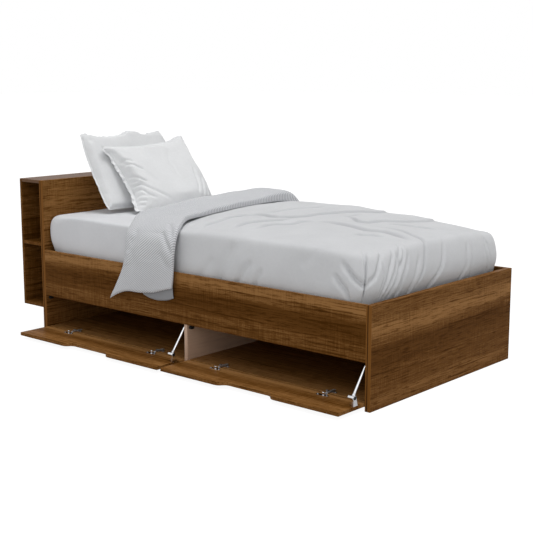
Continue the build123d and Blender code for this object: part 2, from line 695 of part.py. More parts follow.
pillow_levels = [(-0.5, 0.3), (-0.42, 0.62), (-0.25, 0.86), (0, 1), (0.25, 0.86), (0.42, 0.62), (0.5, 0.3)]


def pillow(place):
    """A pillow: four drawn-in sides between its corners, and a crown on both faces."""
    middle, lean = place
    front = (cos(radians(lean)), 0, sin(radians(lean)))
    plane = Plane(origin=middle, x_dir=(0, 1, 0), z_dir=front)
    width, height, depth = PILLOW_SIZE
    outlines = []
    for level, share in pillow_levels:
        half_w = width / 2 * share
        half_h = height / 2 * share
        draw_in = PILLOW_DRAW_IN * share
        with BuildSketch(plane.offset(level * depth)) as outline:
            with BuildLine():
                ThreePointArc((-half_w, -half_h), (0, draw_in - half_h), (half_w, -half_h))
                ThreePointArc((half_w, -half_h), (half_w - draw_in, 0), (half_w, half_h))
                ThreePointArc((half_w, half_h), (0, half_h - draw_in), (-half_w, half_h))
                ThreePointArc((-half_w, half_h), (draw_in - half_w, 0), (-half_w, -half_h))
            make_face()
        outlines.append(outline.sketch)
    loft(outlines, ruled=True)


with BuildPart() as back_pillow:
    pillow(BACK_PILLOW)
pieces["back_pillow"] = back_pillow

with BuildPart() as front_pillow:
    pillow(FRONT_PILLOW)
pieces["front_pillow"] = front_pillow

# How far each stay turns and shortens while its door goes from open to closed
closed_y = PIVOT_Y + (foot_z - PIVOT_Z)
closed_z = PIVOT_Z - (foot_y - PIVOT_Y)
closed_length = hypot(head_y - closed_y, head_z - closed_z)
open_angle = atan2(head_z - foot_z, head_y - foot_y)
closed_angle = atan2(head_z - closed_z, head_y - closed_y)
print("stay length open, closed:", round(stay_length, 3), round(closed_length, 3))
print("stay turns by", round(degrees(closed_angle - open_angle), 3), "degrees, axis", stay_way)

os.makedirs("parts", exist_ok=True)
for name, piece in pieces.items():
    piece.part.label = name
    export_step(piece.part, f"parts/{name}.step")
print(len(pieces), "pieces")
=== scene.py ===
# %% [markdown]
# # A walnut single bed with drop-down doors
# The carcass, hinges and stays come from the CAD model and stay exactly where it put them. Blender's
# share is the finish of those boards and fittings, and everything made of cloth: the mattress, the
# duvet with its turned-back end, and two pillows. The head of the bed is at -X and the doors are at -Y.
# Lengths are in metres. Lists of points are in millimetres, because whole numbers are easier to read.

# %% Load the frame
import math

import bmesh
import bpy
import numpy as np
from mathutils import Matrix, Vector


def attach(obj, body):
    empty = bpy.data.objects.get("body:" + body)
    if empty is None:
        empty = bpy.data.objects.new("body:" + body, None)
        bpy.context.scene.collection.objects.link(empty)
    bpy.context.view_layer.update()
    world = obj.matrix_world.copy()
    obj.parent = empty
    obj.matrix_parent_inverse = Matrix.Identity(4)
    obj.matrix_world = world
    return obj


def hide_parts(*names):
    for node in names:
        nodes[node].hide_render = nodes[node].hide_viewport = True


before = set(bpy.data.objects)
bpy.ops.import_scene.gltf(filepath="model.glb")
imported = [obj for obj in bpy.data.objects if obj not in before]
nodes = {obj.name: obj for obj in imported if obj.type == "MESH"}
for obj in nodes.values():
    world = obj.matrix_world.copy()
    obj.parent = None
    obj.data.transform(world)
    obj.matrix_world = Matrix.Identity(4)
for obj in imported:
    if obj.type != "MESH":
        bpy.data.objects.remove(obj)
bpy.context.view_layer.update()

# %% [markdown]
# ## Camera
# The photograph looks at the foot end from the door side, a little from above. A camera can be moved by
# eye until the picture fits. Here the straight edges of the boards gave the place of the lens and its
# angle, so it is set by numbers.

# %% Camera
AZIMUTH = math.radians(41.1175)
ELEVATION = math.radians(10.228)
LENS_PLACE = (3.3753, -3.7720, 1.2747)
LENS_MM, SENSOR_MM = 74.69, 36.0


def add_object(name, data):
    """A new object in the scene, at the origin, that holds a camera, a lamp or a mesh."""
    added = bpy.data.objects.new(name, data)
    bpy.context.scene.collection.objects.link(added)
    return added


def look_from(item, direction):
    """Turns a camera or lamp to face against that direction, with its top up."""
    item.rotation_mode = "QUATERNION"
    item.rotation_quaternion = (-Vector(direction)).to_track_quat("-Z", "Y")


camera_data = bpy.data.cameras.new("camera")
camera_data.lens = LENS_MM
camera_data.sensor_width = SENSOR_MM
camera_data.clip_end = 60.0
camera = add_object("camera", camera_data)
camera.location = LENS_PLACE
level = math.cos(ELEVATION)
look_from(camera, (math.sin(AZIMUTH) * level, -math.cos(AZIMUTH) * level, math.sin(ELEVATION)))
bpy.context.scene.camera = camera
bpy.context.scene.view_settings.view_transform = "Standard"
print("camera at", [round(v, 3) for v in camera.location])

# %% [markdown]
# ## Shader arithmetic
# A finish is a formula over the surface: bands plus streaks, minus pores. Its nodes could be wired up one
# by one, but the formula would be hard to see. One small class wraps a socket, so that such a formula
# can be typed as Python, and each operator adds its node.

# %% A socket that does arithmetic
class Sock:
    """A socket in a node tree. Operators add Math nodes, and make() adds any other node."""

    def __init__(self, tree, socket=None):
        self.tree = tree
        self.socket = socket

    def make(self, kind, settings=None, inputs=None, out=0):
        """A node of that kind: first its settings, then the values or links of its sockets."""
        node = self.tree.nodes.new(kind)
        for name, value in (settings or {}).items():
            if name == "stops":
                ramp = node.color_ramp
                ramp.elements.remove(ramp.elements[1])
                ramp.elements[0].position = value[0][0]
                ramp.elements[0].color = value[0][1]
                for place, colour in value[1:]:
                    ramp.elements.new(place).color = colour
            else:
                setattr(node, name, value)
        for name, value in (inputs or {}).items():
            if isinstance(value, Sock):
                self.tree.links.new(value.socket, node.inputs[name])
            else:
                node.inputs[name].default_value = value
        return Sock(self.tree, node.outputs[out])

    def math(self, operation, first, second=0.0):
        return self.make("ShaderNodeMath", {"operation": operation}, {0: first, 1: second})

    def __add__(self, other):
        return self.math("ADD", self, other)

    def __sub__(self, other):
        return self.math("SUBTRACT", self, other)

    def __rsub__(self, other):
        return self.math("SUBTRACT", other, self)

    def __mul__(self, other):
        return self.math("MULTIPLY", self, other)

    def __truediv__(self, other):
        return self.math("DIVIDE", self, other)

    def __gt__(self, other):
        return self.math("GREATER_THAN", self, other)

    __radd__ = __add__
    __rmul__ = __mul__

    def size(self):
        return self.math("ABSOLUTE", self)

    def sine(self):
        return self.math("SINE", self)

    def span(self, low, high, to_low=0.0, to_high=1.0):
        """This value, with low..high carried to to_low..to_high and held beyond both ends."""
        ends = {0: self, 1: low, 2: high, 3: to_low, 4: to_high}
        return self.make("ShaderNodeMapRange", {"interpolation_type": "SMOOTHSTEP"}, ends)

    def scaled(self, x, y, z):
        """This vector, multiplied along each axis."""
        return self.make("ShaderNodeVectorMath", {"operation": "MULTIPLY"}, {0: self, 1: (x, y, z)})

    def parts(self):
        """This vector's three numbers."""
        split = self.make("ShaderNodeSeparateXYZ", None, {0: self}).socket.node
        return [Sock(self.tree, output) for output in split.outputs]

    def noise(self, detail=2.0, rough=0.5):
        """Soft noise at this vector, from 0 to 1, one lump to a unit of length."""
        settings = {"Vector": self, "Scale": 1.0, "Detail": detail, "Roughness": rough}
        return self.make("ShaderNodeTexNoise", None, settings)

    def mix(self, colour_a, colour_b):
        """colour_a where this value is 0, colour_b where it is 1."""
        settings = {"data_type": "RGBA", "clamp_factor": True}
        return self.make("ShaderNodeMix", settings, {0: self, 6: colour_a, 7: colour_b}, out=2)


print("shader arithmetic ready")


# %% Helpers for finishes
def rgb(red, green, blue):
    """A colour as it is read off a screen, 0 to 255, turned into the linear light that shaders use."""
    screen = np.array([red, green, blue]) / 255.0
    linear = np.where(screen <= 0.04045, screen / 12.92, ((screen + 0.055) / 1.055) ** 2.4)
    return (*[float(v) for v in linear], 1.0)


def new_finish(name, roughness, specular=0.5):
    """A material with its shader, and a Sock to start formulas from."""
    material = bpy.data.materials.new(name)
    material.use_nodes = True
    tree = material.node_tree
    shader = tree.nodes["Principled BSDF"]
    shader.inputs["Roughness"].default_value = roughness
    shader.inputs["Specular IOR Level"].default_value = specular
    return material, Sock(tree), shader


def own_place(start):
    """The place on the piece in its own coordinates, so that a pattern moves with a door."""
    return start.make("ShaderNodeTexCoord", out=3)


def plug(shader, socket_name, value):
    """Links a formula into one of the shader's sockets."""
    value.tree.links.new(value.socket, shader.inputs[socket_name])


def bump(start, height, distance, strength=1.0):
    """A Bump node that stands the surface up by height times distance."""
    values = {"Height": height, "Distance": distance, "Strength": strength}
    return start.make("ShaderNodeBump", None, values)


print("a middle grey of 128 is", round(rgb(128, 128, 128)[0], 3), "in linear light")

# %% [markdown]
# ## Walnut foil
# The boards are covered with a printed walnut decor: long light and dark bands that run with the grain,
# thin dark streaks between them, short pores, and faint marks across the grain such as a saw leaves. A
# scanned picture of walnut would repeat and would need an unwrapped mesh. Noise that is stretched along
# the grain does neither. Which bands lie where is written per board, as a list of tones from one long
# edge to the other, because the photograph shows them.

# %% Walnut
DARK_WALNUT = rgb(72, 40, 3)
MID_WALNUT = rgb(105, 67, 27)
LIGHT_WALNUT = rgb(157, 113, 66)
END_WALNUT, END_GROOVE = rgb(128, 84, 38), rgb(58, 34, 12)
END_Y = 0.5214  # just inside the ends of the cross boards, which are at 0.5225


def walnut(name, along, across, limits, tones, seed=0.0, end=None, strip=None, gloss=0.03):
    """Walnut foil with its grain along one axis and its bands laid out across another.

    tone = ramp(across) + bands + streaks + specks - lines - flecks - pores - saw marks, from dark to
    light. Beyond END_Y a board shows its end: there the colour depends on (place - first) / thickness
    along an axis, with a dark groove at 0.36, and end gives the axis, first and thickness. A strip is
    one straight band of painted light, given by its middle and half its width: it lightens a board
    where it lies in shade, such as a door along its hinge edge under the rail.
    """
    material, start, shader = new_finish(name, 0.46, gloss)
    here = own_place(start)
    here_xyz = dict(zip("XYZ", here.parts()))
    shift = (seed, seed * 0.7, seed * 1.3)
    place = start.make("ShaderNodeVectorMath", {"operation": "ADD"}, {0: here, 1: shift})

    def stretched(along_scale, across_scale, detail=2.0, rough=0.5):
        """Noise with that many lumps to a metre along the grain and across it."""
        scale = [along_scale if axis == along else across_scale for axis in "XYZ"]
        return place.scaled(*scale).noise(detail, rough)

    width = limits[1] - limits[0]
    wander = (stretched(2.2, 7.0, 3.0, 0.6) - 0.5) * (0.15 * width)
    share = (here_xyz[across] + wander - limits[0]) / width
    stops = [(where, (tone, tone, tone, 1.0)) for where, tone in tones]
    laid_out = start.make("ShaderNodeValToRGB", {"stops": stops}, {0: share})
    bands = stretched(1.3, 42.0, 4.0, 0.6) - 0.5
    streaks = stretched(5.0, 190.0, 3.0, 0.65) - 0.5
    flecks = stretched(15.0, 250.0, 1.0).span(0.56, 0.66)
    pores = stretched(60.0, 700.0, 1.0).span(0.60, 0.72)
    specks = stretched(190.0, 260.0, 1.0) - 0.5
    saw = stretched(190.0, 12.0, 1.0) - 0.45
    saw_patch = stretched(3.0, 9.0, 2.0).span(0.36, 0.62, 0.25, 1.0)
    lines = stretched(1.8, 120.0, 2.0, 0.55).span(0.61, 0.67)
    tone = laid_out + 0.03 + bands * 0.55 + streaks * 0.80 - lines * 0.40 - flecks * 0.30 - pores * 0.12
    tone = tone + specks * 0.30 - saw * saw_patch * 0.55
    # Painted light: the tone is raised in a band along the strip.
    if strip:
        middle, half_width = strip
        beside = (here_xyz[across] - middle).size()
        tone = tone + beside.span(0.0, half_width, 1.0, 0.0) * 0.42
    tone = tone.make("ShaderNodeClamp", None, {0: tone})
    lower = (tone * 2.0).mix(DARK_WALNUT, MID_WALNUT)
    colour = (tone * 2.0 - 1.0).mix(lower, LIGHT_WALNUT)
    if end:
        axis, first, thickness = end
        on_end = here_xyz["Y"].size() > END_Y
        groove = ((here_xyz[axis] - first) / thickness - 0.36).size().span(0.05, 0.12)
        colour = on_end.mix(colour, groove.mix(END_GROOVE, END_WALNUT))
    plug(shader, "Base Color", colour)
    plug(shader, "Roughness", 0.40 + (1.0 - tone) * 0.16)
    plug(shader, "Normal", bump(start, tone - pores * 0.5, 0.0004, 0.35))
    return material


print("walnut in linear light, from", np.round(DARK_WALNUT, 3), "to", np.round(LIGHT_WALNUT, 3))

# %% Tones across each board, and where the boards lie
plain_tones = [(0.0, 0.46), (0.25, 0.54), (0.5, 0.42), (0.75, 0.56), (1.0, 0.48)]
rail_tones = [
    (0.0, 0.40), (0.06, 0.55), (0.25, 0.58), (0.33, 0.42), (0.42, 0.33), (0.52, 0.26), (0.64, 0.30),
    (0.70, 0.55), (0.77, 0.66), (0.82, 0.85), (0.87, 1.0), (0.91, 1.0), (0.95, 0.90), (1.0, 0.80),
]
foot_tones = [
    (0.0, 0.50), (0.05, 0.62), (0.13, 0.66), (0.18, 0.52), (0.33, 0.50), (0.40, 0.34), (0.58, 0.28),
    (0.63, 0.50), (0.68, 0.62), (0.71, 0.80), (0.74, 0.94), (0.77, 0.94), (0.81, 0.80), (0.85, 0.72),
    (0.89, 0.62), (1.0, 0.62),
]
door_tones = [
    (0.0, 0.62), (0.06, 0.72), (0.20, 0.78), (0.30, 0.73), (0.40, 0.62), (0.50, 0.57), (0.65, 0.57),
    (0.72, 0.62), (0.80, 0.72), (0.90, 0.82), (1.0, 0.82),
]
# The storage floor is lighter towards its front edge, at share 0: painted light, where light reaches in
# under the rail.
floor_tones_with_painted_light = [(0.0, 0.95), (0.08, 0.90), (0.2, 0.70), (0.5, 0.60), (1.0, 0.62)]
head_tones = [(0.0, 0.66), (0.25, 0.74), (0.5, 0.64), (0.75, 0.80), (1.0, 0.74)]
top_tones = [(0.0, 0.14), (0.5, 0.10), (1.0, 0.14)]

RAIL_Z, SIDE_Z, HEAD_Z = (0.189, 0.409), (0.0, 0.409), (0.0, 0.743)
CASE_X, CASE_Z = (-1.0525, -0.9025), (0.124, 0.743)
DOOR_Y, FLOOR_Y = (-0.6825, -0.5135), (-0.5045, -0.0075)
FOOT_END, HEAD_END = ("X", 1.0275, 0.025), ("X", -0.9025, 0.025)
EVEN_END = ("Z", -1.46, 5.0)  # so thick that the whole end takes one tone between groove and face

walnut_rail = walnut("walnut_rail", "X", "Z", RAIL_Z, rail_tones)
walnut_far = walnut("walnut_far_side", "X", "Z", SIDE_Z, plain_tones, 3.1)
walnut_foot = walnut("walnut_foot", "Y", "Z", SIDE_Z, foot_tones, 1.7, FOOT_END)
walnut_head = walnut("walnut_head", "Y", "Z", HEAD_Z, head_tones, 5.3, HEAD_END)
# The doors get a band of painted light along their hinge edge, which lies in the rail's shade.
walnut_door = walnut("walnut_door", "X", "Y", DOOR_Y, door_tones, 0.9, strip=(-0.5305, 0.026))
walnut_floor = walnut("walnut_floor", "X", "Y", FLOOR_Y, floor_tones_with_painted_light, 7.7)
walnut_case = walnut("walnut_bookcase", "Y", "X", CASE_X, plain_tones, 9.2)
walnut_top = walnut("walnut_bookcase_top", "Y", "X", CASE_X, top_tones, 9.2, EVEN_END, gloss=0.42)
walnut_back = walnut("walnut_bookcase_back", "Y", "Z", CASE_Z, plain_tones, 11.4)
print("walnut finishes made")

# %% [markdown]
# ## The other hard finishes
# The divider is a plain taupe board. Slats, cleats and dowels are raw pale wood. The stays and cups are
# bright chrome with faint draw lines, the hinge arms satin chrome, the plates and screws duller zinc, and
# the stops and bushes black moulded plastic. One flat colour each would look like paint, so a little
# noise varies the colour, the roughness and the relief.

# %% Taupe board and pale wood
def plain_board(name, low, high, along, roughness):
    """A quiet board: two near colours blended by noise that is stretched along the grain."""
    material, start, shader = new_finish(name, roughness, 0.4)
    place = own_place(start)
    grain = place.scaled(*[5.0 if axis == along else 160.0 for axis in "XYZ"]).noise(3.0, 0.6)
    cloud = place.scaled(6.0, 6.0, 6.0).noise(2.0)
    tone = (grain * 0.6 + cloud * 0.4).span(0.35, 0.65)
    plug(shader, "Base Color", tone.mix(low, high))
    plug(shader, "Roughness", roughness + (grain - 0.5) * 0.2)
    plug(shader, "Normal", bump(start, grain, 0.0003, 0.3))
    return material


taupe_board = plain_board("taupe_board", rgb(198, 166, 142), rgb(214, 183, 158), "Y", 0.5)
pale_wood = plain_board("pale_wood", rgb(186, 152, 108), rgb(214, 184, 140), "Y", 0.6)
print("board finishes made")


# %% Chrome, zinc and black plastic
def metal(name, colour, dull, roughness, lines):
    """Metal with fine lines: roughness and colour vary with noise that is stretched along X."""
    material, start, shader = new_finish(name, roughness)
    shader.inputs["Metallic"].default_value = 1.0
    place = own_place(start)
    drawn = place.scaled(90.0, lines, lines).noise(2.0)
    smear = place.scaled(60.0, 60.0, 60.0).noise(2.0)
    plug(shader, "Base Color", (drawn * 0.5 + smear * 0.5).span(0.3, 0.7).mix(dull, colour))
    plug(shader, "Roughness", roughness + (smear - 0.5) * 0.12)
    plug(shader, "Normal", bump(start, drawn, 0.00005, 0.25))
    return material


bright_chrome = metal("bright_chrome", rgb(236, 237, 240), rgb(205, 207, 211), 0.16, 2600.0)
satin_chrome = metal("satin_chrome", rgb(236, 237, 240), rgb(214, 216, 220), 0.42, 1800.0)
zinc_steel = metal("zinc_steel", rgb(176, 177, 180), rgb(120, 121, 124), 0.34, 1500.0)
black_plastic, start, shader = new_finish("black_plastic", 0.5, 0.4)
speck = own_place(start).scaled(1400.0, 1400.0, 1400.0).noise(1.0)
plug(shader, "Base Color", speck.span(0.35, 0.65).mix(rgb(18, 18, 19), rgb(34, 34, 36)))
plug(shader, "Normal", bump(start, speck, 0.0001, 0.4))
print("metal and plastic finishes made")

# %% [markdown]
# ## Which board takes which finish
# A CAD node keeps its mesh and only gets a better material. The cups, brackets, tubes, rods and studs,
# which the list leaves out, are bright chrome.

# %% Finish the CAD nodes
finish_nodes = [
    (walnut_rail, "near_side_rail"),
    (walnut_far, "far_side_panel centre_partition"),
    (walnut_foot, "foot_panel"),
    (walnut_head, "head_panel"),
    (walnut_door, "left_door right_door"),
    (walnut_floor, "left_storage_floor right_storage_floor"),
    (walnut_back, "bookcase_back bookcase_partition"),
    (walnut_top, "bookcase_top"),
    (walnut_case, "bookcase_bottom bookcase_near_shelf bookcase_far_shelf"),
    (taupe_board, "compartment_divider"),
    (pale_wood, "near_slat_cleat far_slat_cleat bed_slats dowels"),
    (black_plastic, "door_stops left_stay_bush right_stay_bush"),
    (satin_chrome, "hinge_arms"),
    (zinc_steel, "hinge_plates hinge_plate_screws left_hinge_pins right_hinge_pins cam_bolts cam_locks"),
    (zinc_steel, "left_cup_screws right_cup_screws bookcase_screws"),
]
finishes = {name: finish for finish, names in finish_nodes for name in names.split()}
soft_nodes = ("mattress", "duvet", "back_pillow", "front_pillow")
for name, node in nodes.items():
    if name not in soft_nodes:
        node.data.materials.clear()
        node.data.materials.append(finishes.get(name, bright_chrome))
print(len(nodes) - len(soft_nodes), "nodes finished")

# %% [markdown]
# ## Cloth finishes
# White percale is a fine plain weave. It is far too fine to see from across a room, but it takes the
# shine off the cloth, so it is there as a small bump, with a little unevenness in the white. The back of
# the duvet has narrow slanting pinstripes. They are drawn on the piece's own UV map, which is in metres,
# so that they follow the cloth where it bends. Two greys are painted shade: the duvet's white darkens in
# its sharp creases, and the layer under the hanging end is a grey copy of the cotton.

# %% Plain and striped cotton
TURN = 2.0 * math.pi
THREAD = 0.0011


def cotton(name, light, shade, stripe=None, painted_crease_shade=None):
    """Plain weave: sin(u) * sin(v) as a bump, a soft cloud in the colour, and stripes if asked for.

    A stripe is given by its period, its slant and its colour. The last argument is the colour of
    painted shade down in the sharp creases, where the piece's "crease" attribute is 1.
    """
    material, start, shader = new_finish(name, 0.86, 0.25)
    shader.inputs["Sheen Weight"].default_value = 0.12
    shader.inputs["Sheen Roughness"].default_value = 0.5
    place = own_place(start)
    u, v, _ = start.make("ShaderNodeUVMap").parts()
    weave = (u * (TURN / THREAD)).sine() * (v * (TURN / THREAD)).sine()
    cloud = place.scaled(7.0, 7.0, 7.0).noise(3.0)
    slub = place.scaled(90.0, 90.0, 90.0).noise(2.0)
    colour = (cloud * 0.7 + slub * 0.3).span(0.3, 0.7).mix(shade, light)
    if stripe:
        period, slant, line = stripe
        way = u * (math.cos(slant) * TURN / period) + v * (math.sin(slant) * TURN / period)
        colour = way.sine().span(0.0, 0.6).mix(colour, line)
    # Painted shade: the colour darkens towards the crease colour where the "crease" attribute is high, in
    # place of the shade in creases too narrow for the mesh.
    if painted_crease_shade:
        deep = start.make("ShaderNodeAttribute", {"attribute_name": "crease"}, out=2)
        colour = deep.mix(colour, painted_crease_shade)
    plug(shader, "Base Color", colour)
    plug(shader, "Normal", bump(start, weave * 0.5 + slub * 0.8, 0.00035, 0.4))
    return material


pinstripe = (0.0096, math.radians(-35), rgb(172, 174, 178))
# The duvet's cotton gets painted shade in its sharp creases.
duvet_cotton = cotton("duvet_cotton", rgb(216, 217, 219), rgb(210, 211, 213), painted_crease_shade=rgb(186, 187, 190))
pillow_cotton = cotton("pillow_cotton", rgb(236, 237, 238), rgb(229, 230, 231))
sheet_cotton = cotton("sheet_cotton", rgb(224, 225, 228), rgb(218, 219, 222))
stripe_cotton = cotton("stripe_cotton", rgb(224, 225, 227), rgb(218, 219, 222), stripe=pinstripe)
# Painted shade: a darker grey copy of the duvet's cotton, for the layer under the hanging end, which lies in
# shade.
painted_shade_cotton = cotton("painted_shade_cotton", rgb(156, 157, 160), rgb(148, 149, 152))
print("cloth finishes made")

# %% [markdown]
# ## From grids to pieces
# Every cloth piece is worked out as whole arrays of points on a grid. One helper turns a set of points
# and faces into an object, merges points that fall together, and turns the faces outwards. The others
# draw smooth lines, soft hills and the folds of cloth.

# %% Mesh helpers
def quads(index, close_rows=False, close_columns=False):
    """The four corners of every cell of a grid of point numbers, with either way closed if asked for."""
    if close_rows:
        index = np.vstack([index, index[:1]])
    if close_columns:
        index = np.hstack([index, index[:, :1]])
    cells = [index[:-1, :-1], index[1:, :-1], index[1:, 1:], index[:-1, 1:]]
    return np.stack(cells, -1).reshape(-1, 4)


def rim(index):
    """The point numbers round the border of a grid, once round."""
    return np.concatenate([index[:-1, 0], index[-1, :-1], index[:0:-1, -1], index[0, :0:-1]])


def make_piece(name, points, faces, material, uv, smooth=0, crease=None):
    """An object at the origin with these points and faces, smooth shaded, its UV map in metres.

    smooth is the number of its subdivisions, and crease says how deep in a crease each point lies; it is
    kept as the point attribute "crease", the mask for painted shade in the creases.
    """
    mesh = bpy.data.meshes.new(name)
    mesh.from_pydata(points.reshape(-1, 3).tolist(), [], list(faces))
    layer = mesh.uv_layers.new(name="cloth")
    loops = np.empty(len(mesh.loops), np.int32)
    mesh.loops.foreach_get("vertex_index", loops)
    layer.data.foreach_set("uv", uv.reshape(-1, 2)[loops].astype(np.float32).ravel())
    # The crease depths become a point attribute, which masks painted shade in the cloth's finish.
    if crease is not None:
        depths = mesh.attributes.new("crease", "FLOAT", "POINT")
        depths.data.foreach_set("value", crease.astype(np.float32).ravel())
    work = bmesh.new()
    work.from_mesh(mesh)
    bmesh.ops.remove_doubles(work, verts=work.verts, dist=1e-6)
    bmesh.ops.recalc_face_normals(work, faces=work.faces)
    work.to_mesh(mesh)
    work.free()
    mesh.polygons.foreach_set("use_smooth", np.ones(len(mesh.polygons), bool))
    mesh.materials.append(material)
    piece = add_object(name, mesh)
    if smooth:
        rounder = piece.modifiers.new("rounding", "SUBSURF")
        rounder.levels = smooth
        rounder.render_levels = smooth
    print(name, len(mesh.vertices), "points")
    return piece


print("a grid of 3 by 3 points has", len(quads(np.arange(9).reshape(3, 3))), "faces")


# %% Lines, hills and folds
def unit(vectors):
    """The vectors, each divided by its length."""
    return vectors / np.maximum(np.linalg.norm(vectors, axis=-1, keepdims=True), 1e-9)


def eased(t):
    """Smoothstep, 3t^2 - 2t^3: from 0 to 1, level at both ends."""
    return t * t * (3 - 2 * t)


def smooth_line(points, count):
    """A smooth line (a Catmull-Rom spline) through points in mm, as count points in metres.

    Between b and c, with neighbours a and d, and t from 0 to 1, the point is half of
    2b + (c - a)t + (2a - 5b + 4c - d)t^2 + (3b - a - 3c + d)t^3.
    """
    p = np.array(points, float) / 1000
    p = np.vstack([2 * p[0] - p[1], p, 2 * p[-1] - p[-2]])
    s = np.linspace(0, len(points) - 1 - 1e-9, count)
    k = s.astype(int)
    t = (s - k)[:, None]
    a, b, c, d = p[k], p[k + 1], p[k + 2], p[k + 3]
    return 0.5 * (2 * b + (c - a) * t + (2 * a - 5 * b + 4 * c - d) * t ** 2
                  + (3 * b - a - 3 * c + d) * t ** 3)


def walked(path):
    """How far along the path each of its points lies."""
    return np.cumsum(np.r_[0, np.linalg.norm(np.diff(path, axis=0), axis=1)])


def normals_of(points):
    """Unit normals of a grid of points, from the cross product of its two directions."""
    return unit(np.cross(np.gradient(points, axis=0), np.gradient(points, axis=1)))


def soft_noise(x, y, lump, seed):
    """Smooth random hills, -1 to 1: random heights on a lattice of that spacing, blended by smoothsteps."""
    size = 64
    heights = np.random.default_rng(seed).uniform(-1.0, 1.0, (size, size))
    fx, fy = x / lump + 31.7, y / lump + 17.3
    ix, iy = np.floor(fx).astype(int), np.floor(fy).astype(int)
    tx, ty = eased(fx - ix), eased(fy - iy)

    def corner(dx, dy):
        return heights[(ix + dx) % size, (iy + dy) % size]

    low = corner(0, 0) * (1 - tx) + corner(1, 0) * tx
    high = corner(0, 1) * (1 - tx) + corner(1, 1) * tx
    return low * (1 - ty) + high * ty


FOLD_STEPS = 40
STEP_REACH = 0.08
# The depth of a sharp crease at which its painted shade is full.
SHARP_DEPTH = 0.011


def folds(x, y, lines):
    """Folds in cloth: each is a line of points with a width w, a depth and sometimes a step, all in mm.

    At a distance s from its line the cloth moves by depth * (0.22 exp(-(s / 4w)^2) - exp(-(s / w)^2)),
    a crease between two soft ridges. A negative depth gives a ridge. A step adds
    step * tanh(s / w) * exp(-(s / STEP_REACH)^2), up on the left of the line. Over a quarter of the line
    at each end the fold fades out. s is measured square to the line from its nearest point. Returned
    with the move is how deep in a sharp crease (one with a step) each point lies, 0 to 1: the mask for
    painted shade, which darkens the cloth in creases too narrow for the mesh to shade.
    """
    move, deep = np.zeros_like(x), np.zeros_like(x)
    for line, *sizes in lines:
        width, depth, *step = [size / 1000 for size in sizes]
        path = smooth_line(line, FOLD_STEPS + 1)
        way = np.gradient(path, axis=0)
        nearest = ((x[..., None] - path[:, 0]) ** 2 + (y[..., None] - path[:, 1]) ** 2).argmin(-1)
        way_x, way_y = way[nearest, 0], way[nearest, 1]
        off_x, off_y = x - path[nearest, 0], y - path[nearest, 1]
        pace = np.hypot(way_x, way_y)
        aside = (way_x * off_y - way_y * off_x) / pace / width
        along = (nearest + (way_x * off_x + way_y * off_y) / pace ** 2) / FOLD_STEPS
        fade = eased(np.clip(np.minimum(along, 1 - along) * 4.0, 0.0, 1.0))
        valley = np.exp(-aside ** 2)
        move += depth * fade * (0.22 * np.exp(-aside ** 2 / 16.0) - valley)
        if step:
            move += step[0] * fade * np.tanh(aside) * np.exp(-(aside * width / STEP_REACH) ** 2)
            deep += np.clip(depth / SHARP_DEPTH, 0, 1) * fade * valley
    return move, np.clip(deep, 0, 1)


print("a smooth line bends through", smooth_line([(0, 0), (50, 20), (100, 0)], 5).round(4).tolist())

# %% [markdown]
# ## Mattress
# A sprung mattress in a fitted sheet: a long rounded block with a soft upper edge, crisp along its sides
# and rounder at its head end. A bevelled box would be rounded alike all over. Here the outline is a
# rounded rectangle, and a profile carries it from the middle of the underside, out round the side and
# back to the middle of the top. Under the duvet it is drawn in, so that it stays below the duvet's
# rounded edge.

# %% Where the duvet lies
SIDE_Y, FOOT_X, HEM_Z = 0.5035, 1.0205, 0.388  # how far out its sides and foot hang, and how low
ROUND_Y, ROUND_X, ROUND_Z = 0.080, 0.095, 0.085  # the size of its rounded edge
EDGE_Y, EDGE_X = SIDE_Y - ROUND_Y, FOOT_X - ROUND_X
TOP_X = np.array([-550, -200, 0, 150, 300, 450, 600, 750, 930]) / 1000
TOP_NEAR = np.array([576, 578, 588, 595, 597, 597, 598, 596, 588]) / 1000
TOP_MIDDLE = np.array([602, 606, 618, 627, 622, 617, 615, 610, 598]) / 1000
TOP_FAR = np.array([600, 612, 624, 626, 622, 610, 606, 592, 572]) / 1000


def duvet_top(x, y):
    """Height of the duvet's top: a parabola across, through the near edge, the middle and the far edge."""
    near, middle, far = [np.interp(x, TOP_X, heights) for heights in (TOP_NEAR, TOP_MIDDLE, TOP_FAR)]
    s = np.clip(y / EDGE_Y, -1.0, 1.0)
    return middle + (far - near) / 2 * s + ((far + near) / 2 - middle) * s * s


print("the duvet's top is flat out to x", round(EDGE_X, 4), "and y", round(EDGE_Y, 4))


# %% Mattress points under the duvet
COVER_X, COVER_SOFTNESS = -0.19, 0.025
INSIDE_X, INSIDE_Y, BELOW = 0.030, 0.027, 0.024  # how far in from the duvet's edge, and below its top
FULL_REACH = 0.96


def tucked(x, y, z):
    """Mattress points under the duvet, held inside a rounded edge a little smaller than the duvet's.

    Past the flat top the reach is sqrt(out_x^2 + out_y^2) in shares of that edge, held below
    FULL_REACH, and the roof above the point is ROUND_Z * (1 - cbrt(1 - reach^3)) lower than the duvet's
    top. At COVER_X the hold sets in.
    """
    covered = 1 / (1 + np.exp(-(x - COVER_X) / COVER_SOFTNESS))
    past_x, past_y = np.maximum(x - EDGE_X, 0.0), np.maximum(np.abs(y) - EDGE_Y, 0.0)
    reach = np.hypot(past_x / (ROUND_X - INSIDE_X), past_y / (ROUND_Y - INSIDE_Y))
    keep = 1 - covered * (1 - FULL_REACH / np.maximum(reach, FULL_REACH))
    new_x, new_y = x - past_x * (1 - keep), y - np.sign(y) * past_y * (1 - keep)
    sunk = ROUND_Z * (1 - np.cbrt(1 - np.minimum(reach, FULL_REACH) ** 3))
    roof = duvet_top(new_x, new_y) - BELOW - sunk
    return new_x, new_y, z + np.minimum(roof - z, 0.0) * covered


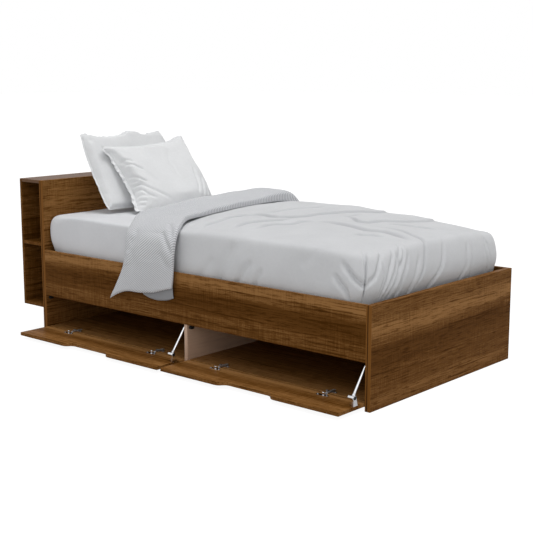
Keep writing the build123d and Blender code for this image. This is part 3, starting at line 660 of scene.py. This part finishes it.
def round_outline(corner_steps, long_steps, short_steps):
    """A rounded rectangle, once round, as rows of (kx, ky, angle).

    The point is (kx * straight_x + r cos angle, ky * straight_y + r sin angle).
    """
    runs = []
    for quarter, (kx, ky) in enumerate([(1, 1), (-1, 1), (-1, -1), (1, -1)]):
        turn = math.pi / 2 * (quarter + np.linspace(0, 1, corner_steps, endpoint=False))
        runs.append(np.stack([np.full(corner_steps, kx), np.full(corner_steps, ky), turn], -1))
        is_long = quarter % 2 == 0
        steps = long_steps if is_long else short_steps
        walk = np.linspace(1, -1, steps, endpoint=False)
        flat = np.full(steps, math.pi / 2 * (quarter + 1))
        straight = [kx * walk, np.full(steps, ky)] if is_long else [np.full(steps, kx), ky * walk]
        runs.append(np.stack([*straight, flat], -1))
    return np.vstack(runs)


outline = round_outline(12, 110, 60)
print("mattress outline of", len(outline), "points")

# %% Mattress
MATTRESS_X0, MATTRESS_X1, MATTRESS_HALF = -0.875, 1.010, 0.496
CORNER, HEAD_REACH = 0.020, 0.07  # radius of the corners, and how far the round head end reaches
GIRTH = 5.4  # length of the outline, for the UV map
# Both profiles are (height, inset), from the middle of the underside to the middle of the top.
side_profile = smooth_line([
    (319, 470), (319, 200), (319, 40), (324, 16), (345, 6), (400, 3), (490, 0), (550, 1), (570, 3),
    (577, 9), (579.5, 22), (581, 90), (583, 200), (585, 330), (585, 470),
], 72)
end_profile = smooth_line([
    (319, 470), (319, 200), (319, 60), (326, 34), (350, 21), (390, 13), (425, 7), (455, 2), (490, 0),
    (525, 1), (550, 5), (566, 12), (575, 24), (579, 45), (581, 90), (583, 200), (585, 330), (585, 470),
], 72)
kx, ky, angle = outline.T
from_head = (MATTRESS_X1 - MATTRESS_X0) / 2 * (1 + kx) + CORNER * np.cos(angle)
at_head = np.exp(-(from_head / HEAD_REACH) ** 2)
height = side_profile[:, :1] * (1 - at_head) + end_profile[:, :1] * at_head
inset = side_profile[:, 1:] * (1 - at_head) + end_profile[:, 1:] * at_head
half_x = (MATTRESS_X1 - MATTRESS_X0) / 2 - inset
half_y = MATTRESS_HALF - inset
radius = np.minimum(CORNER + 1.1 * inset, half_y * 0.98)
x = (MATTRESS_X0 + MATTRESS_X1) / 2 + kx * (half_x - radius) + radius * np.cos(angle)
y = ky * (half_y - radius) + radius * np.sin(angle)
hills = 0.0025 * soft_noise(x, y, 0.16, 3) + 0.001 * soft_noise(x, y, 0.05, 4)
z = height + np.where(height > 0.5, hills, 0.0)
y = y + np.sign(y) * 0.002 * soft_noise(x, z, 0.12, 5) * np.clip((0.06 - inset) / 0.06, 0, 1)
x, y, z = tucked(x, y, z)
around = np.arange(len(outline)) / len(outline) * GIRTH
up_side = walked(side_profile)[:, None]
uv = np.stack([np.broadcast_to(around, x.shape), np.broadcast_to(up_side, x.shape)], -1)
faces = quads(np.arange(x.size).reshape(x.shape), close_columns=True)
mattress = make_piece("mattress_cover", np.stack([x, y, z], -1), faces, sheet_cotton, uv)
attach(mattress, "bed_frame")
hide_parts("mattress")

# %% [markdown]
# ## Duvet
# The duvet lies over the mattress like a thick tablecloth. A simulation could drape it, but its folds would
# fall elsewhere than in the photograph. So a flat sheet is laid on the top, and what reaches past the
# top's edges goes round a soft shoulder and down between the mattress and the boards. At the corner by
# the foot there is more cloth than room, so it stands in pleats. Each fold is a bent line on the flat
# sheet, with a valley along it and a ridge on either side.

# %% Lay the sheet
FALL = 0.26  # how much of the sheet hangs over each edge
SECTION_DROP = 0.205  # how far down the sections below go
# The sections are (out, down) from the edge of the top, on the near side, the far side and at the foot.
side_section = [
    (0, 0), (20, 0.3), (38, 2.5), (52, 9), (60, 20), (64.5, 35), (68.5, 55), (72.5, 80), (76, 110),
    (77.5, 140), (76.5, 170), (74, 205),
]
far_section = [
    (0, 0), (20, 2), (38, 8), (53, 19), (64, 34), (72, 55), (77, 80), (80, 110), (80.5, 140), (79, 170),
    (76, 205),
]
foot_section = [
    (0, 0), (24, 0.3), (46, 2.5), (63, 9), (73.5, 20), (80.5, 35), (86.5, 55), (91.5, 80), (94, 105),
    (93, 130), (89.5, 150), (84, 170), (75, 205),
]


def hanging(fall, section):
    """How far out and down the hanging sheet lies: a section line read at even shares of its length."""
    line = smooth_line(section, 400)
    length = walked(line)
    at = np.clip(fall, 0, 1) * length[-1]
    return np.interp(at, length, line[:, 0]), np.interp(at, length, line[:, 1])


# The steps are finer on the near half and towards the foot, where the folds are.
across = np.r_[
    np.linspace(-(EDGE_Y + FALL), -EDGE_Y, 46, endpoint=False),
    np.linspace(-EDGE_Y, 0.0, 94, endpoint=False),
    np.linspace(0.0, EDGE_Y, 84, endpoint=False),
    np.linspace(EDGE_Y, EDGE_Y + FALL, 26),
]
share = np.r_[np.linspace(0.0, 0.78, 249, endpoint=False), np.linspace(0.78, 1.0, 70)]
head_line = -0.330 - 0.070 * np.clip(across / EDGE_Y, -1.2, 1.2)
sheet_x = head_line + (EDGE_X + FALL - head_line) * share[:, None]
sheet_y = np.broadcast_to(across, sheet_x.shape)

top_x = np.minimum(sheet_x, EDGE_X)
top_y = np.clip(sheet_y, -EDGE_Y, EDGE_Y)
over_x = np.maximum(sheet_x - EDGE_X, 0.0)
over_y = np.maximum(np.abs(sheet_y) - EDGE_Y, 0.0)
fall = np.maximum(over_x, over_y) / FALL
turn = np.arctan2(over_y, over_x)
crown = duvet_top(top_x, top_y)
out_x, down_x = hanging(fall, foot_section)
out_y, down_y = np.where(sheet_y < 0, hanging(fall, side_section), hanging(fall, far_section))
round_x, round_y = np.cos(turn) * (over_x > 0), np.sin(turn) * (over_y > 0)
drop = (down_x * round_x ** 2 + down_y * round_y ** 2) * (crown - HEM_Z) / SECTION_DROP
duvet = np.stack([top_x + out_x * round_x, top_y + np.sign(sheet_y) * out_y * round_y, crown - drop], -1)
facing = normals_of(duvet)
facing = facing * np.sign(facing[..., 2].mean())
print("duvet sheet of", sheet_x.shape, "points")

# %% Folds of the duvet
# First the pleats of the foot and its near corner, then the creases on the top (those with a step), and
# last the soft folds of the near side.
duvet_folds = [
    ([(915, -400), (983, -475), (1016, -515), (1059, -564), (1101, -621), (1150, -680)], 7, 16),
    ([(875, -505), (927, -546), (977, -575), (1068, -597), (1120, -600)], 11, 18),
    ([(845, -560), (889, -600), (921, -629), (950, -670)], 12, 16),
    ([(1110, -600), (1092, -562), (1072, -484), (1046, -442), (999, -393), (970, -370)], 9, 12),
    ([(965, -295), (1023, -335), (1059, -363), (1110, -392), (1180, -430)], 7, 11),
    ([(970, -280), (1029, -307), (1072, -330), (1109, -360), (1180, -410)], 7, 12),
    ([(955, -225), (972, -242), (1018, -285), (1055, -296), (1093, -315), (1140, -346),
      (1190, -380)], 8, 14),
    ([(975, -225), (993, -241), (1027, -264), (1060, -290), (1080, -300)], 7, 10),
    ([(985, -385), (1038, -397), (1076, -395), (1123, -418), (1180, -450)], 7, 9),
    ([(995, -215), (1057, -248), (1098, -274), (1143, -293), (1190, -320)], 8, 12),
    ([(640, 30), (707, 18), (782, 8), (823, -3), (868, -21), (918, -50), (975, -80), (1039, -111),
      (1074, -123), (1111, -140), (1141, -161), (1190, -190)], 5.2, 8, 2),
    ([(965, 50), (1046, 19), (1088, 2), (1122, -21), (1146, -52), (1190, -100)], 9, 14),
    ([(1015, -140), (1081, -172), (1115, -189), (1142, -202), (1190, -230)], 9, 10),
    ([(1000, 212), (1071, 194), (1119, 186), (1165, 160), (1200, 140)], 9, 11),
    ([(1020, 240), (1084, 236), (1130, 236), (1172, 237), (1200, 237)], 8, 7),
    ([(1000, 350), (1018, 354), (1072, 352), (1136, 371), (1190, 380)], 9, 6),
    ([(1020, 370), (1040, 372), (1106, 388), (1160, 400)], 8, 5),
    ([(0, -95), (45, -78), (88, -66), (161, -86), (222, -84), (248, -53), (297, 19), (316, 100),
      (357, 217), (390, 317), (438, 398), (436, 440), (415, 485), (385, 540)], 5.2, 8, 5),
    ([(97, -433), (22, -329), (8, -222), (-8, -140), (18, -93), (88, -66)], 6, 6, 4),
    ([(99, -49), (120, 4), (135, 97), (159, 189), (190, 249), (186, 338)], 6, 5, 3),
    ([(405, 200), (423, 171), (461, 141), (511, 94), (560, 58), (605, 72), (616, 163), (662, 217),
      (692, 311), (708, 380), (700, 440), (675, 485), (640, 540)], 5.2, 8, 5),
    ([(416, 137), (423, 171), (416, 211), (418, 292)], 6, 5, 2),
    ([(643, 130), (688, 143), (760, 156), (832, 176), (899, 165)], 6, 6, 3),
    ([(380, -53), (480, -24), (605, -47), (711, -82), (789, -66), (893, -98), (973, -161)], 11, 9, 4),
    ([(705, -196), (764, -186), (788, -158), (860, -151)], 8, 6.5, 3),
    ([(223, -381), (190, -283), (211, -204), (253, -120), (272, -18)], 9, 8, 4),
    ([(310, -359), (297, -229), (353, -148), (354, -74), (415, -35)], 11, 8, 3),
    ([(240, -570), (200, -605), (160, -645), (120, -700)], 20, 5),
    ([(345, -490), (300, -560), (262, -640), (240, -740)], 26, 10),
    ([(450, -560), (405, -605), (365, -660), (325, -740)], 16, 10),
    ([(500, -585), (475, -625), (455, -670), (440, -740)], 12, 9),
    ([(762, -467), (731, -519), (679, -564)], 24, 4),
]
# The second result is the mask for painted shade in the sharp creases.
fold_move, painted_crease_shade_mask = folds(sheet_x, sheet_y, duvet_folds)
print("folds move the duvet by", fold_move.min().round(4), "to", fold_move.max().round(4))


# %% Duvet
BOARD_TOP, BOARD_Y, BOARD_X = 0.414, 0.5062, 1.0262  # just above the boards, and just inside them


def room(z, reach):
    """How far out cloth may lie at a height: to the boards' inner faces, and 20 mm more above their tops."""
    return reach + np.clip((z - BOARD_TOP) / 0.03, 0, 1) * 0.02


def shell(name, outside, inside, material, uv, crease):
    """A closed padded sheet: a fine outer grid, every third point of an inner grid, and a strip round both.

    Each face of the strip has two inner points and four outer ones.
    """
    inside, inside_uv = inside[::3, ::3], uv[::3, ::3]
    fine = np.arange(outside[..., 0].size).reshape(outside.shape[:2])
    coarse = fine.size + np.arange(inside[..., 0].size).reshape(inside.shape[:2])
    outer_rim, inner_rim = rim(fine), rim(coarse)
    edge = [inner_rim, np.roll(inner_rim, -1), np.roll(outer_rim, -3)[::3]]
    edge += [outer_rim[2::3], outer_rim[1::3], outer_rim[::3]]
    faces = [*quads(fine).tolist(), *quads(coarse)[:, ::-1].tolist(), *np.stack(edge, -1).tolist()]
    points = np.concatenate([outside.reshape(-1, 3), inside.reshape(-1, 3)])
    all_uv = np.concatenate([uv.reshape(-1, 2), inside_uv.reshape(-1, 2)])
    all_crease = np.concatenate([crease.ravel(), np.zeros(coarse.size)])
    return make_piece(name, points, faces, material, all_uv, crease=all_crease)


puff = 0.005 * soft_noise(sheet_x, sheet_y, 0.26, 11) + 0.0025 * soft_noise(sheet_x, sheet_y, 0.11, 12)
puff = puff * (1 - 0.6 * np.clip(fall, 0, 1)) + fold_move
outer = duvet + facing * puff[..., None]
limit_y = room(outer[..., 2], BOARD_Y)
outer[..., 1] = np.clip(outer[..., 1], -limit_y, limit_y)
outer[..., 0] = np.minimum(outer[..., 0], room(outer[..., 2], BOARD_X))
thick = 0.018 - 0.010 * np.clip(fall / 0.5, 0, 1)
inner = duvet - facing * (thick + np.maximum(-puff, 0.0))[..., None]
sheet_uv = np.stack([sheet_x, sheet_y], -1)
duvet_piece = shell("duvet_cover", outer, inner, duvet_cotton, sheet_uv, painted_crease_shade_mask)
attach(duvet_piece, "bed_frame")
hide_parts("duvet")

# %% [markdown]
# ## The turned-back end
# The head end of the duvet is folded back over itself, so its striped underside shows, and its near end
# slips over the side rail and hangs down outside, with the other layer of the duvet under it. A sheet with
# a thickness added would have hard edges. This is a soft slab carried along two lines: the rounded fold
# on the pillow side and the free edge on the foot side.

# %% A soft slab
SLAB_POINTS = 132
RAIL_FACE_Y, FAR_BOARD_Y, SLAB_LOW_Z = -0.5238, 0.5060, 0.43
CLOSING, RISING = 0.03, 0.12  # shares of its length over which the ends close and the first is raised


def soft_slab(name, head_edge, foot_edge, thickness, rows, material, bottom, wrinkles=()):
    """A padded slab between two edge lines.

    Around each cross-section, at angle a, the point lies half_width * |cos a|^p along the width and
    half_thickness * |sin a|^q along the normal, each with its sign. The powers are smaller on the foot
    side, where the edge is square, than on the head side, where it is a round fold. Both ends close to a
    line. bottom lists how far the first end is raised, in mm, from -1000 on the head side to 1000 on the
    foot side. Below the boards' tops the slab keeps outside the rail and inside the far board.
    """
    head = smooth_line(head_edge, rows)
    foot = smooth_line(foot_edge, rows)
    half_t = smooth_line([(t, t) for t in thickness], rows)[:, 0]
    s = np.linspace(0, 1, rows)
    middle, half_w = (head + foot) / 2, (foot - head) / 2
    up = unit(np.cross(half_w, np.gradient(middle, axis=0)))
    ends = np.clip(np.minimum(s, 1 - s) / CLOSING, 0, 1)
    half_t = half_t * np.sqrt(1 - (1 - ends) ** 2)
    angle = np.linspace(0, TURN, SLAB_POINTS, endpoint=False)
    c, d = np.cos(angle), np.sin(angle)
    across = np.where(c > 0, np.abs(c) ** 0.27, -np.abs(c) ** 0.42)
    lift = np.sign(d) * np.abs(d) ** np.where(c > 0, 0.45, 0.75)
    point = middle[:, None] + half_w[:, None] * across[None, :, None]
    u = walked(middle)[:, None] + 0 * angle
    v = across[None, :] * np.linalg.norm(half_w, axis=1)[:, None]
    places = smooth_line(bottom, 200)
    rise = np.interp(across, places[:, 0], places[:, 1])
    point[..., 2] += np.clip(1 - s / RISING, 0, 1)[:, None] ** 2 * rise[None, :]
    move = 0.003 * soft_noise(u, v, 0.09, 21) + 0.005 * soft_noise(u, v, 0.22, 22)
    move = move + folds(u, v, wrinkles)[0]
    upper = np.clip(lift[None, :] * 3, 0, 1)
    out = lift[None, :] * half_t[:, None] + upper * move * ends[:, None]
    point = point + up[:, None] * out[..., None]
    wall = np.where(point[..., 1] < 0, RAIL_FACE_Y, FAR_BOARD_Y)
    outside = np.minimum(point[..., 1], wall)
    point[..., 1] = np.where(point[..., 2] < SLAB_LOW_Z, outside, point[..., 1])
    faces = quads(np.arange(u.size).reshape(u.shape), close_columns=True)
    return make_piece(name, point, faces, material, np.stack([u, v], -1))


def on_duvet(x, y, lift):
    """A point at that lift above the duvet's top, in mm."""
    return (x, y, float(duvet_top(x / 1000, y / 1000)) * 1000 + lift)


print("a point 20 mm above the duvet:", on_duvet(0, 0, 20))

# %% Turned-back end
fold_head = [
    (-378, -549, 246), (-332, -549, 316), (-286, -548, 402), (-276, -543, 478), (-290, -520, 545),
    (-325, -455, 583), on_duvet(-402, -330, 18), on_duvet(-446, -150, 19), on_duvet(-446, 20, 19),
    on_duvet(-426, 180, 21), on_duvet(-410, 330, 26), (-385, 430, 632), (-365, 490, 590),
    (-360, 508, 540),
]
fold_foot = [
    (24, -549, 342), (30, -549, 380), (35, -549, 440), (38, -546, 505), (32, -526, 562), (2, -468, 600),
    on_duvet(-86, -335, 26), on_duvet(-135, -170, 17), on_duvet(-155, 20, 18), on_duvet(-150, 180, 21),
    on_duvet(-145, 330, 28), (-135, 430, 636), (-125, 492, 592), (-122, 508, 542),
]
fold_thickness = [10, 11, 11, 13, 14, 15, 18, 19, 20, 22, 27, 34, 22, 10]
fold_bottom = [(-1000, 0), (-700, 16), (-400, 20), (0, 4), (300, -6), (700, -2), (1000, 0)]
fold_wrinkles = [
    ([(300, 75), (275, 90), (225, 130), (170, 165)], 12, 9),
    ([(216, 69), (160, 108), (114, 153)], 12, 7),
    ([(311, -92), (258, -89), (230, -123)], 20, 6),
    ([(210, -129), (175, -123), (141, -137)], 16, -6),
    ([(254, -7), (203, -7), (156, 0)], 22, 6),
    ([(358, 91), (312, 124), (251, 152)], 14, 6),
]
turn_back = soft_slab("duvet_turn_back", fold_head, fold_foot, fold_thickness, 230, stripe_cotton,
                      fold_bottom, fold_wrinkles)
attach(turn_back, "bed_frame")
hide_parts("duvet")

# %% The layer under it
under_head = [(-178, -527.5, 288), (-172, -534, 335), (-168, -534, 420), (-165, -526, 470)]
under_foot = [(12, -527.5, 294), (14, -534, 335), (16, -534, 420), (20, -526, 470)]
under_bottom = [(-1000, 0), (-500, -14), (100, -18), (600, -12), (1000, 0)]
# The layer under the hanging end takes the darker cotton, as painted shade.
under_layer = soft_slab("duvet_under_layer", under_head, under_foot, [3.5, 4, 4, 4], 60, painted_shade_cotton,
                        under_bottom)
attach(under_layer, "bed_frame")
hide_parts("duvet")

# %% [markdown]
# ## Pillows
# A pillow starts as two flat rectangles sewn together round the edge. Filling it pulls the edges in and
# leaves puckers along the seam, and a cloth simulation with air pressure does just that, better than a
# formula. The filled pillow is then laid between the seams that the photograph shows, pressed flat where
# it meets the mattress, the head panel and the other pillow, and creased where its case is loose.

# %% Pillow envelope
PILLOW_W, PILLOW_H = 0.62, 0.46
UV_SHIFT = 2.0  # between the two sides on the UV map


def sewn_envelope(columns, rows):
    """Two grids that share their border: z = +-0.012 * sqrt((1-u^2)(1-v^2)), just parted for the start.

    Returned are the points, the faces, the UV map, where the second side is shifted by UV_SHIFT, the
    point numbers round the seam and those of the next ring inwards on both sides.
    """
    u, v = np.meshgrid(np.linspace(-1, 1, columns), np.linspace(-1, 1, rows), indexing="ij")
    part = 0.012 * np.sqrt((1 - u * u) * (1 - v * v))
    front = np.stack([u * PILLOW_W / 2, v * PILLOW_H / 2, part], -1).reshape(-1, 3)
    one = np.arange(columns * rows).reshape(columns, rows)
    free = np.zeros((columns, rows), bool)
    free[1:-1, 1:-1] = True
    two = one.copy()
    two[free] = columns * rows + np.arange(free.sum())
    points = np.vstack([front, (front * (1, 1, -1))[free.ravel()]])
    flat = np.vstack([front[:, :2], front[free.ravel(), :2] + (UV_SHIFT, 0.0)])
    faces = np.vstack([quads(one), quads(two)[:, ::-1]])
    inside = [np.concatenate([g[:-1, 1], g[-2, :-1], g[:0:-1, -2], g[1, :0:-1]]) for g in (one, two)]
    return points, faces, flat, rim(one), inside


envelope_points, envelope_faces, envelope_uv, seam_ring, seam_inside = sewn_envelope(118, 88)
print("pillow envelope of", len(envelope_points), "points")

# %% Fill it
PRESSURE, LAST_FRAME = 5.0, 19
cloth_settings = {
    "quality": 6, "mass": 0.2, "tension_stiffness": 22, "compression_stiffness": 22, "shear_stiffness": 8,
    "bending_stiffness": 0.08, "air_damping": 4, "use_pressure": True, "uniform_pressure_force": PRESSURE,
}


def filled(points, faces):
    """The envelope after its cloth has been blown up without gravity, up to the last frame."""
    mesh = bpy.data.meshes.new("envelope")
    mesh.from_pydata(points.tolist(), [], faces.tolist())
    envelope = add_object("envelope", mesh)
    cloth = envelope.modifiers.new("cloth", "CLOTH")
    for name, value in cloth_settings.items():
        setattr(cloth.settings, name, value)
    cloth.settings.effector_weights.gravity = 0.0
    cloth.collision_settings.use_collision = False
    for step in range(1, LAST_FRAME + 1):
        bpy.context.scene.frame_set(step)
    result = envelope.evaluated_get(bpy.context.evaluated_depsgraph_get()).data
    moved = np.empty(len(result.vertices) * 3, np.float32)
    result.vertices.foreach_get("co", moved)
    bpy.data.objects.remove(envelope)
    bpy.context.scene.frame_set(1)
    return moved.reshape(-1, 3).astype(float)


plump = filled(envelope_points, envelope_faces)
print("filled pillow size", np.ptp(plump, axis=0).round(3))


# %% How a pillow is laid
SEAM_U, SEAM_V = 0.966, 0.960  # the shares of the patch that lie inside the hem


def at_share(line, share):
    """Points at those shares of the length of a smooth line."""
    path = smooth_line(line, 240)
    length = walked(path)
    return np.stack([np.interp(share * length[-1], length, path[:, i]) for i in range(3)], -1)


def patch(edges, u, v):
    """A surface between four edge lines (a Coons patch).

    It is the blend of bottom and top by v, plus the blend of left and right by u, minus the blend of
    the four corners by both.
    """
    bottom, top, left, right = edges
    corner = [np.array(p) / 1000 for p in (bottom[0], bottom[-1], top[0], top[-1])]
    a, b = u[:, None], v[:, None]
    surface = (1 - b) * at_share(bottom, u) + b * at_share(top, u)
    surface = surface + (1 - a) * at_share(left, v) + a * at_share(right, v)
    low = (1 - a) * (1 - b) * corner[0] + a * (1 - b) * corner[1]
    return surface - (low + (1 - a) * b * corner[2] + a * b * corner[3])


def lay_pillow(edges, depth, creases, low, rear):
    """The filled pillow's bulge, scaled to depth, on the patch between its seams.

    It is fuller by low at the bottom, and its rear is multiplied by rear.
    """
    flat_u, flat_v = envelope_uv[:, 0] % UV_SHIFT, envelope_uv[:, 1]
    flat_u = np.where(flat_u > 1.0, flat_u - UV_SHIFT, flat_u)
    u = 0.5 + SEAM_U * flat_u / PILLOW_W
    v = 0.5 + SEAM_V * flat_v / PILLOW_H
    surface = patch(edges, u, v)
    near = 0.004
    front = unit(np.cross(patch(edges, u + near, v) - surface, patch(edges, u, v + near) - surface))
    bulge = plump[:, 2] / np.abs(plump[:, 2]).max() * depth / 2
    bulge = bulge * (1 + low * np.exp(-((v / 0.16) ** 2)))
    bulge = np.where(bulge < 0, bulge * rear, bulge)
    inside = np.clip(np.abs(bulge) / 0.022, 0, 1)
    bulge = bulge + np.where(bulge > 0, folds(flat_u, flat_v, creases)[0] * inside, 0.0)
    return surface + front * bulge[:, None]


def soft_floor(value, level, softness):
    """The larger of value and level, with a rounded change-over of that softness."""
    gap = value - level
    return level + 0.5 * (gap + np.sqrt(gap * gap + softness * softness))


print("a floor of 0 with a softness of 0.01 lifts 0 to", soft_floor(0.0, 0.0, 0.01))


# %% The hem of a pillow case
HEM_PROFILE = [(0, 0.0012), (0.5, 0.0010), (1, 0.0004), (1, -0.0004), (0.5, -0.0010), (0, -0.0012)]
HEM_OVERLAP = 0.006  # how far the strip starts inside the case


def hem(name, world, parent, depth, seed, frill):
    """The sewn edge of the case: a thin wavy strip that stands out from the seam, closed all round.

    HEM_PROFILE gives its section as (share of the depth, half thickness). Along the left edge the strip
    is wider and wavier, as far as frill says.
    """
    seam = world[seam_ring]
    outward = unit(seam - (world[seam_inside[0]] + world[seam_inside[1]]) / 2)
    wrapped = np.vstack([outward[-2:], outward, outward[:2]])
    kernel = np.ones(5) / 5
    smooth = unit(np.stack([np.convolve(wrapped[:, i], kernel, "valid") for i in range(3)], -1))
    flat = unit(np.cross(np.gradient(seam, axis=0), smooth))
    step = np.arange(len(seam))
    fine, slow, zero = step * 0.02, step * 0.006, step * 0.0
    left = frill * np.clip((-0.25 - envelope_uv[seam_ring, 0]) / 0.05, 0, 1)
    wave = 0.004 * soft_noise(fine, zero, 0.05, seed) + 0.003 * soft_noise(fine, zero, 0.021, seed + 1)
    wave = wave + left * (0.012 * soft_noise(slow, zero, 0.021, seed + 2) - 0.006)
    width = depth * (1 + left * (0.55 + 0.35 * soft_noise(slow, zero, 0.03, seed + 3)))
    points = np.stack([
        seam + smooth * (width * d - HEM_OVERLAP * (d == 0))[:, None] + flat * (t + wave * d)[:, None]
        for d, t in HEM_PROFILE
    ], 1)
    grid = np.arange(points[..., 0].size).reshape(points.shape[:2])
    uv = np.stack(np.meshgrid(fine, np.arange(len(HEM_PROFILE)) * 0.006, indexing="ij"), -1)
    strip = make_piece(name, points, quads(grid, True, True), pillow_cotton, uv, smooth=1)
    strip.parent = parent


print("the hem's section has", len(HEM_PROFILE), "points")

# %% Seams and creases of the pillows
front_creases = [
    ([(-300, 190), (-293, 119), (-276, 77), (-255, 70)], 11, 9.6),
    ([(-305, 95), (-262, 90), (-225, 70)], 8, 7.2),
    ([(-305, 62), (-253, 56), (-216, 25), (-190, 10)], 7, 8.8),
    ([(-312, 8), (-267, -22), (-237, -53), (-215, -75)], 7, 9.6),
    ([(-312, -20), (-280, -45), (-262, -58)], 6, 6.4),
    ([(-308, -52), (-277, -74), (-235, -73)], 6, 7.2),
    ([(-304, -67), (-266, -80), (-216, -115), (-165, -152), (-88, -204)], 7, 8),
    ([(-309, -103), (-272, -110), (-234, -147), (-180, -180)], 6, 8),
    ([(-312, -138), (-260, -147), (-225, -165)], 6, 7.2),
    ([(-312, -165), (-243, -182)], 6, 7.2),
    ([(-312, -195), (-255, -205)], 6, 6.4),
    ([(195, 5), (148, -95), (100, -190)], 8, 10),
    ([(218, -60), (175, -140), (142, -208)], 8, 9.5),
    ([(255, -95), (220, -150), (190, -205)], 7, 8),
    ([(84, 155), (12, 55), (16, -1), (2, -100)], 16, 3.2),
    ([(-210, 24), (-178, -38), (-142, -109)], 16, 3.2),
    ([(-120, 215), (-105, 150), (-120, 90)], 14, 3.2),
]
back_creases = [
    ([(-303, 198), (-266, 174), (-226, 148), (-190, 130)], 18, 10),
    ([(-294, 129), (-279, 62), (-285, 13)], 18, 7),
    ([(-306, -130), (-290, -150), (-256, -175)], 14, 7),
    ([(45, 226), (-3, 184), (-62, 161)], 20, -6),
]
# The seams, as lines: bottom, top, left and right.
back_edges = (
    [(-633, -322, 601), (-642, -57, 598), (-650, 208, 601)],
    [(-838, -318, 955), (-846, -289, 961), (-848, -246, 952), (-848, -182, 940), (-848, -105, 941),
     (-848, -65, 944), (-848, -25, 957), (-848, 9, 961), (-848, 42, 944), (-848, 97, 937),
     (-848, 153, 945), (-846, 212, 955)],
    [(-633, -322, 601), (-668, -322, 640), (-702, -322, 695), (-750, -322, 768), (-798, -322, 862),
     (-838, -318, 955)],
    [(-650, 208, 601), (-690, 214, 690), (-734, 220, 780), (-786, 222, 880), (-846, 212, 955)],
)
front_edges = (
    [(-513, -252, 592), (-446, -130, 590), (-428, 0, 590), (-444, 150, 590), (-495, 278, 590)],
    [(-748, -276, 886), (-756, -244, 898), (-750, -204, 894), (-743, -114, 889), (-737, -20, 887),
     (-737, 48, 891), (-737, 117, 895), (-740, 176, 902), (-748, 224, 915), (-756, 286, 928)],
    [(-513, -252, 592), (-553, -232, 625), (-593, -208, 667), (-632, -204, 707), (-675, -209, 762),
     (-713, -220, 814), (-736, -231, 852), (-748, -276, 886)],
    [(-495, 278, 590), (-562, 254, 668), (-612, 241, 740), (-658, 250, 800), (-704, 274, 860),
     (-756, 286, 928)],
)
print(len(front_creases) + len(back_creases), "creases in the pillow cases")

# %% Lay the pillows
TOUCH_POINT = np.array([-0.700, 0.0, 0.760])  # on the plane where the two pillows meet
TOUCH_WAY = np.array([math.cos(0.50), 0.0, math.sin(0.50)])  # square to that plane
BED_Z, HEAD_X = 0.586, -0.875  # just above the mattress, and just in front of the head panel
back_world = lay_pillow(back_edges, 0.185, back_creases, 0.7, 0.5)
front_world = lay_pillow(front_edges, 0.145, front_creases, -0.25, 0.9)
for world, sign in ((back_world, -1.0), (front_world, 1.0)):
    ahead = (world - TOUCH_POINT) @ TOUCH_WAY * sign
    world += np.outer((soft_floor(ahead, 0.0015, 0.010) - ahead) * sign, TOUCH_WAY)
    world[:, 2] = soft_floor(world[:, 2], BED_Z, 0.012)
    world[:, 0] = soft_floor(world[:, 0], HEAD_X, 0.006)
laid = (("back_pillow", back_world, 41, 0.0), ("front_pillow", front_world, 51, 1.0))
for name, world, seed, frill in laid:
    piece = make_piece(f"{name}_case", world, envelope_faces, pillow_cotton, envelope_uv, smooth=1)
    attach(piece, "bed_frame")
    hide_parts(name)
    hem(f"{name}_hem", world, piece, 0.006 + 0.004 * frill, seed, frill)

# %% [markdown]
# ## Studio
# The bed stands on a pale floor in soft, even light. Strong lamps would make the surround white, but they
# would bleach the cloth too. So the world is white only to the camera and in reflections, the floor glows
# only for the camera, and the light that both shed on the bed is calmer. One broad lamp hangs overhead,
# and a weaker one stands on the door side, towards the foot.

# %% Floor
FLOOR_HALF = 40
corners = [(x * FLOOR_HALF, y * FLOOR_HALF, 0) for x, y in ((-1, -1), (1, -1), (1, 1), (-1, 1))]
floor_mesh = bpy.data.meshes.new("floor")
floor_mesh.from_pydata(corners, [], [(0, 1, 2, 3)])
floor = add_object("floor", floor_mesh)
floor_finish, start, shader = new_finish("pale_floor", 0.9, 0.1)
shader.inputs["Base Color"].default_value = (0.68, 0.68, 0.68, 1.0)
rays = start.make("ShaderNodeLightPath").socket.node.outputs
glow = start.make("ShaderNodeEmission", None, {"Color": (1.0, 1.0, 1.0, 1.0), "Strength": 1.25})
seen = Sock(start.tree, rays["Is Camera Ray"]) * 0.75
blend = start.make("ShaderNodeMixShader", None, {0: seen, 1: Sock(start.tree, shader.outputs[0]), 2: glow})
output = floor_finish.node_tree.nodes["Material Output"]
start.tree.links.new(blend.socket, output.inputs["Surface"])
floor.data.materials.append(floor_finish)
print("floor laid")

# %% World and lamps
studio = bpy.data.worlds.new("studio")
studio.use_nodes = True
bpy.context.scene.world = studio
start = Sock(studio.node_tree)
rays = start.make("ShaderNodeLightPath").socket.node.outputs
shown = Sock(start.tree, rays["Is Camera Ray"]) + Sock(start.tree, rays["Is Glossy Ray"])
shown = (shown + Sock(start.tree, rays["Is Transmission Ray"])).span(0.0, 1.0)
background = studio.node_tree.nodes["Background"]
background.inputs["Color"].default_value = (1.0, 1.0, 1.0, 1.0)
start.tree.links.new((0.36 + shown * 0.64).socket, background.inputs["Strength"])


def soft_sun(name, direction, strength, spread):
    """A far lamp in that direction, spread over an angle so that its shadows are soft."""
    lamp = bpy.data.lights.new(name, "SUN")
    lamp.energy = strength
    lamp.angle = math.radians(spread)
    look_from(add_object(name, lamp), direction)


soft_sun("top_lamp", (0.16, 0.04, 0.98), 1.56, 35.0)
soft_sun("door_lamp", (0.40, -0.74, 0.54), 0.52, 50.0)
print("studio ready")
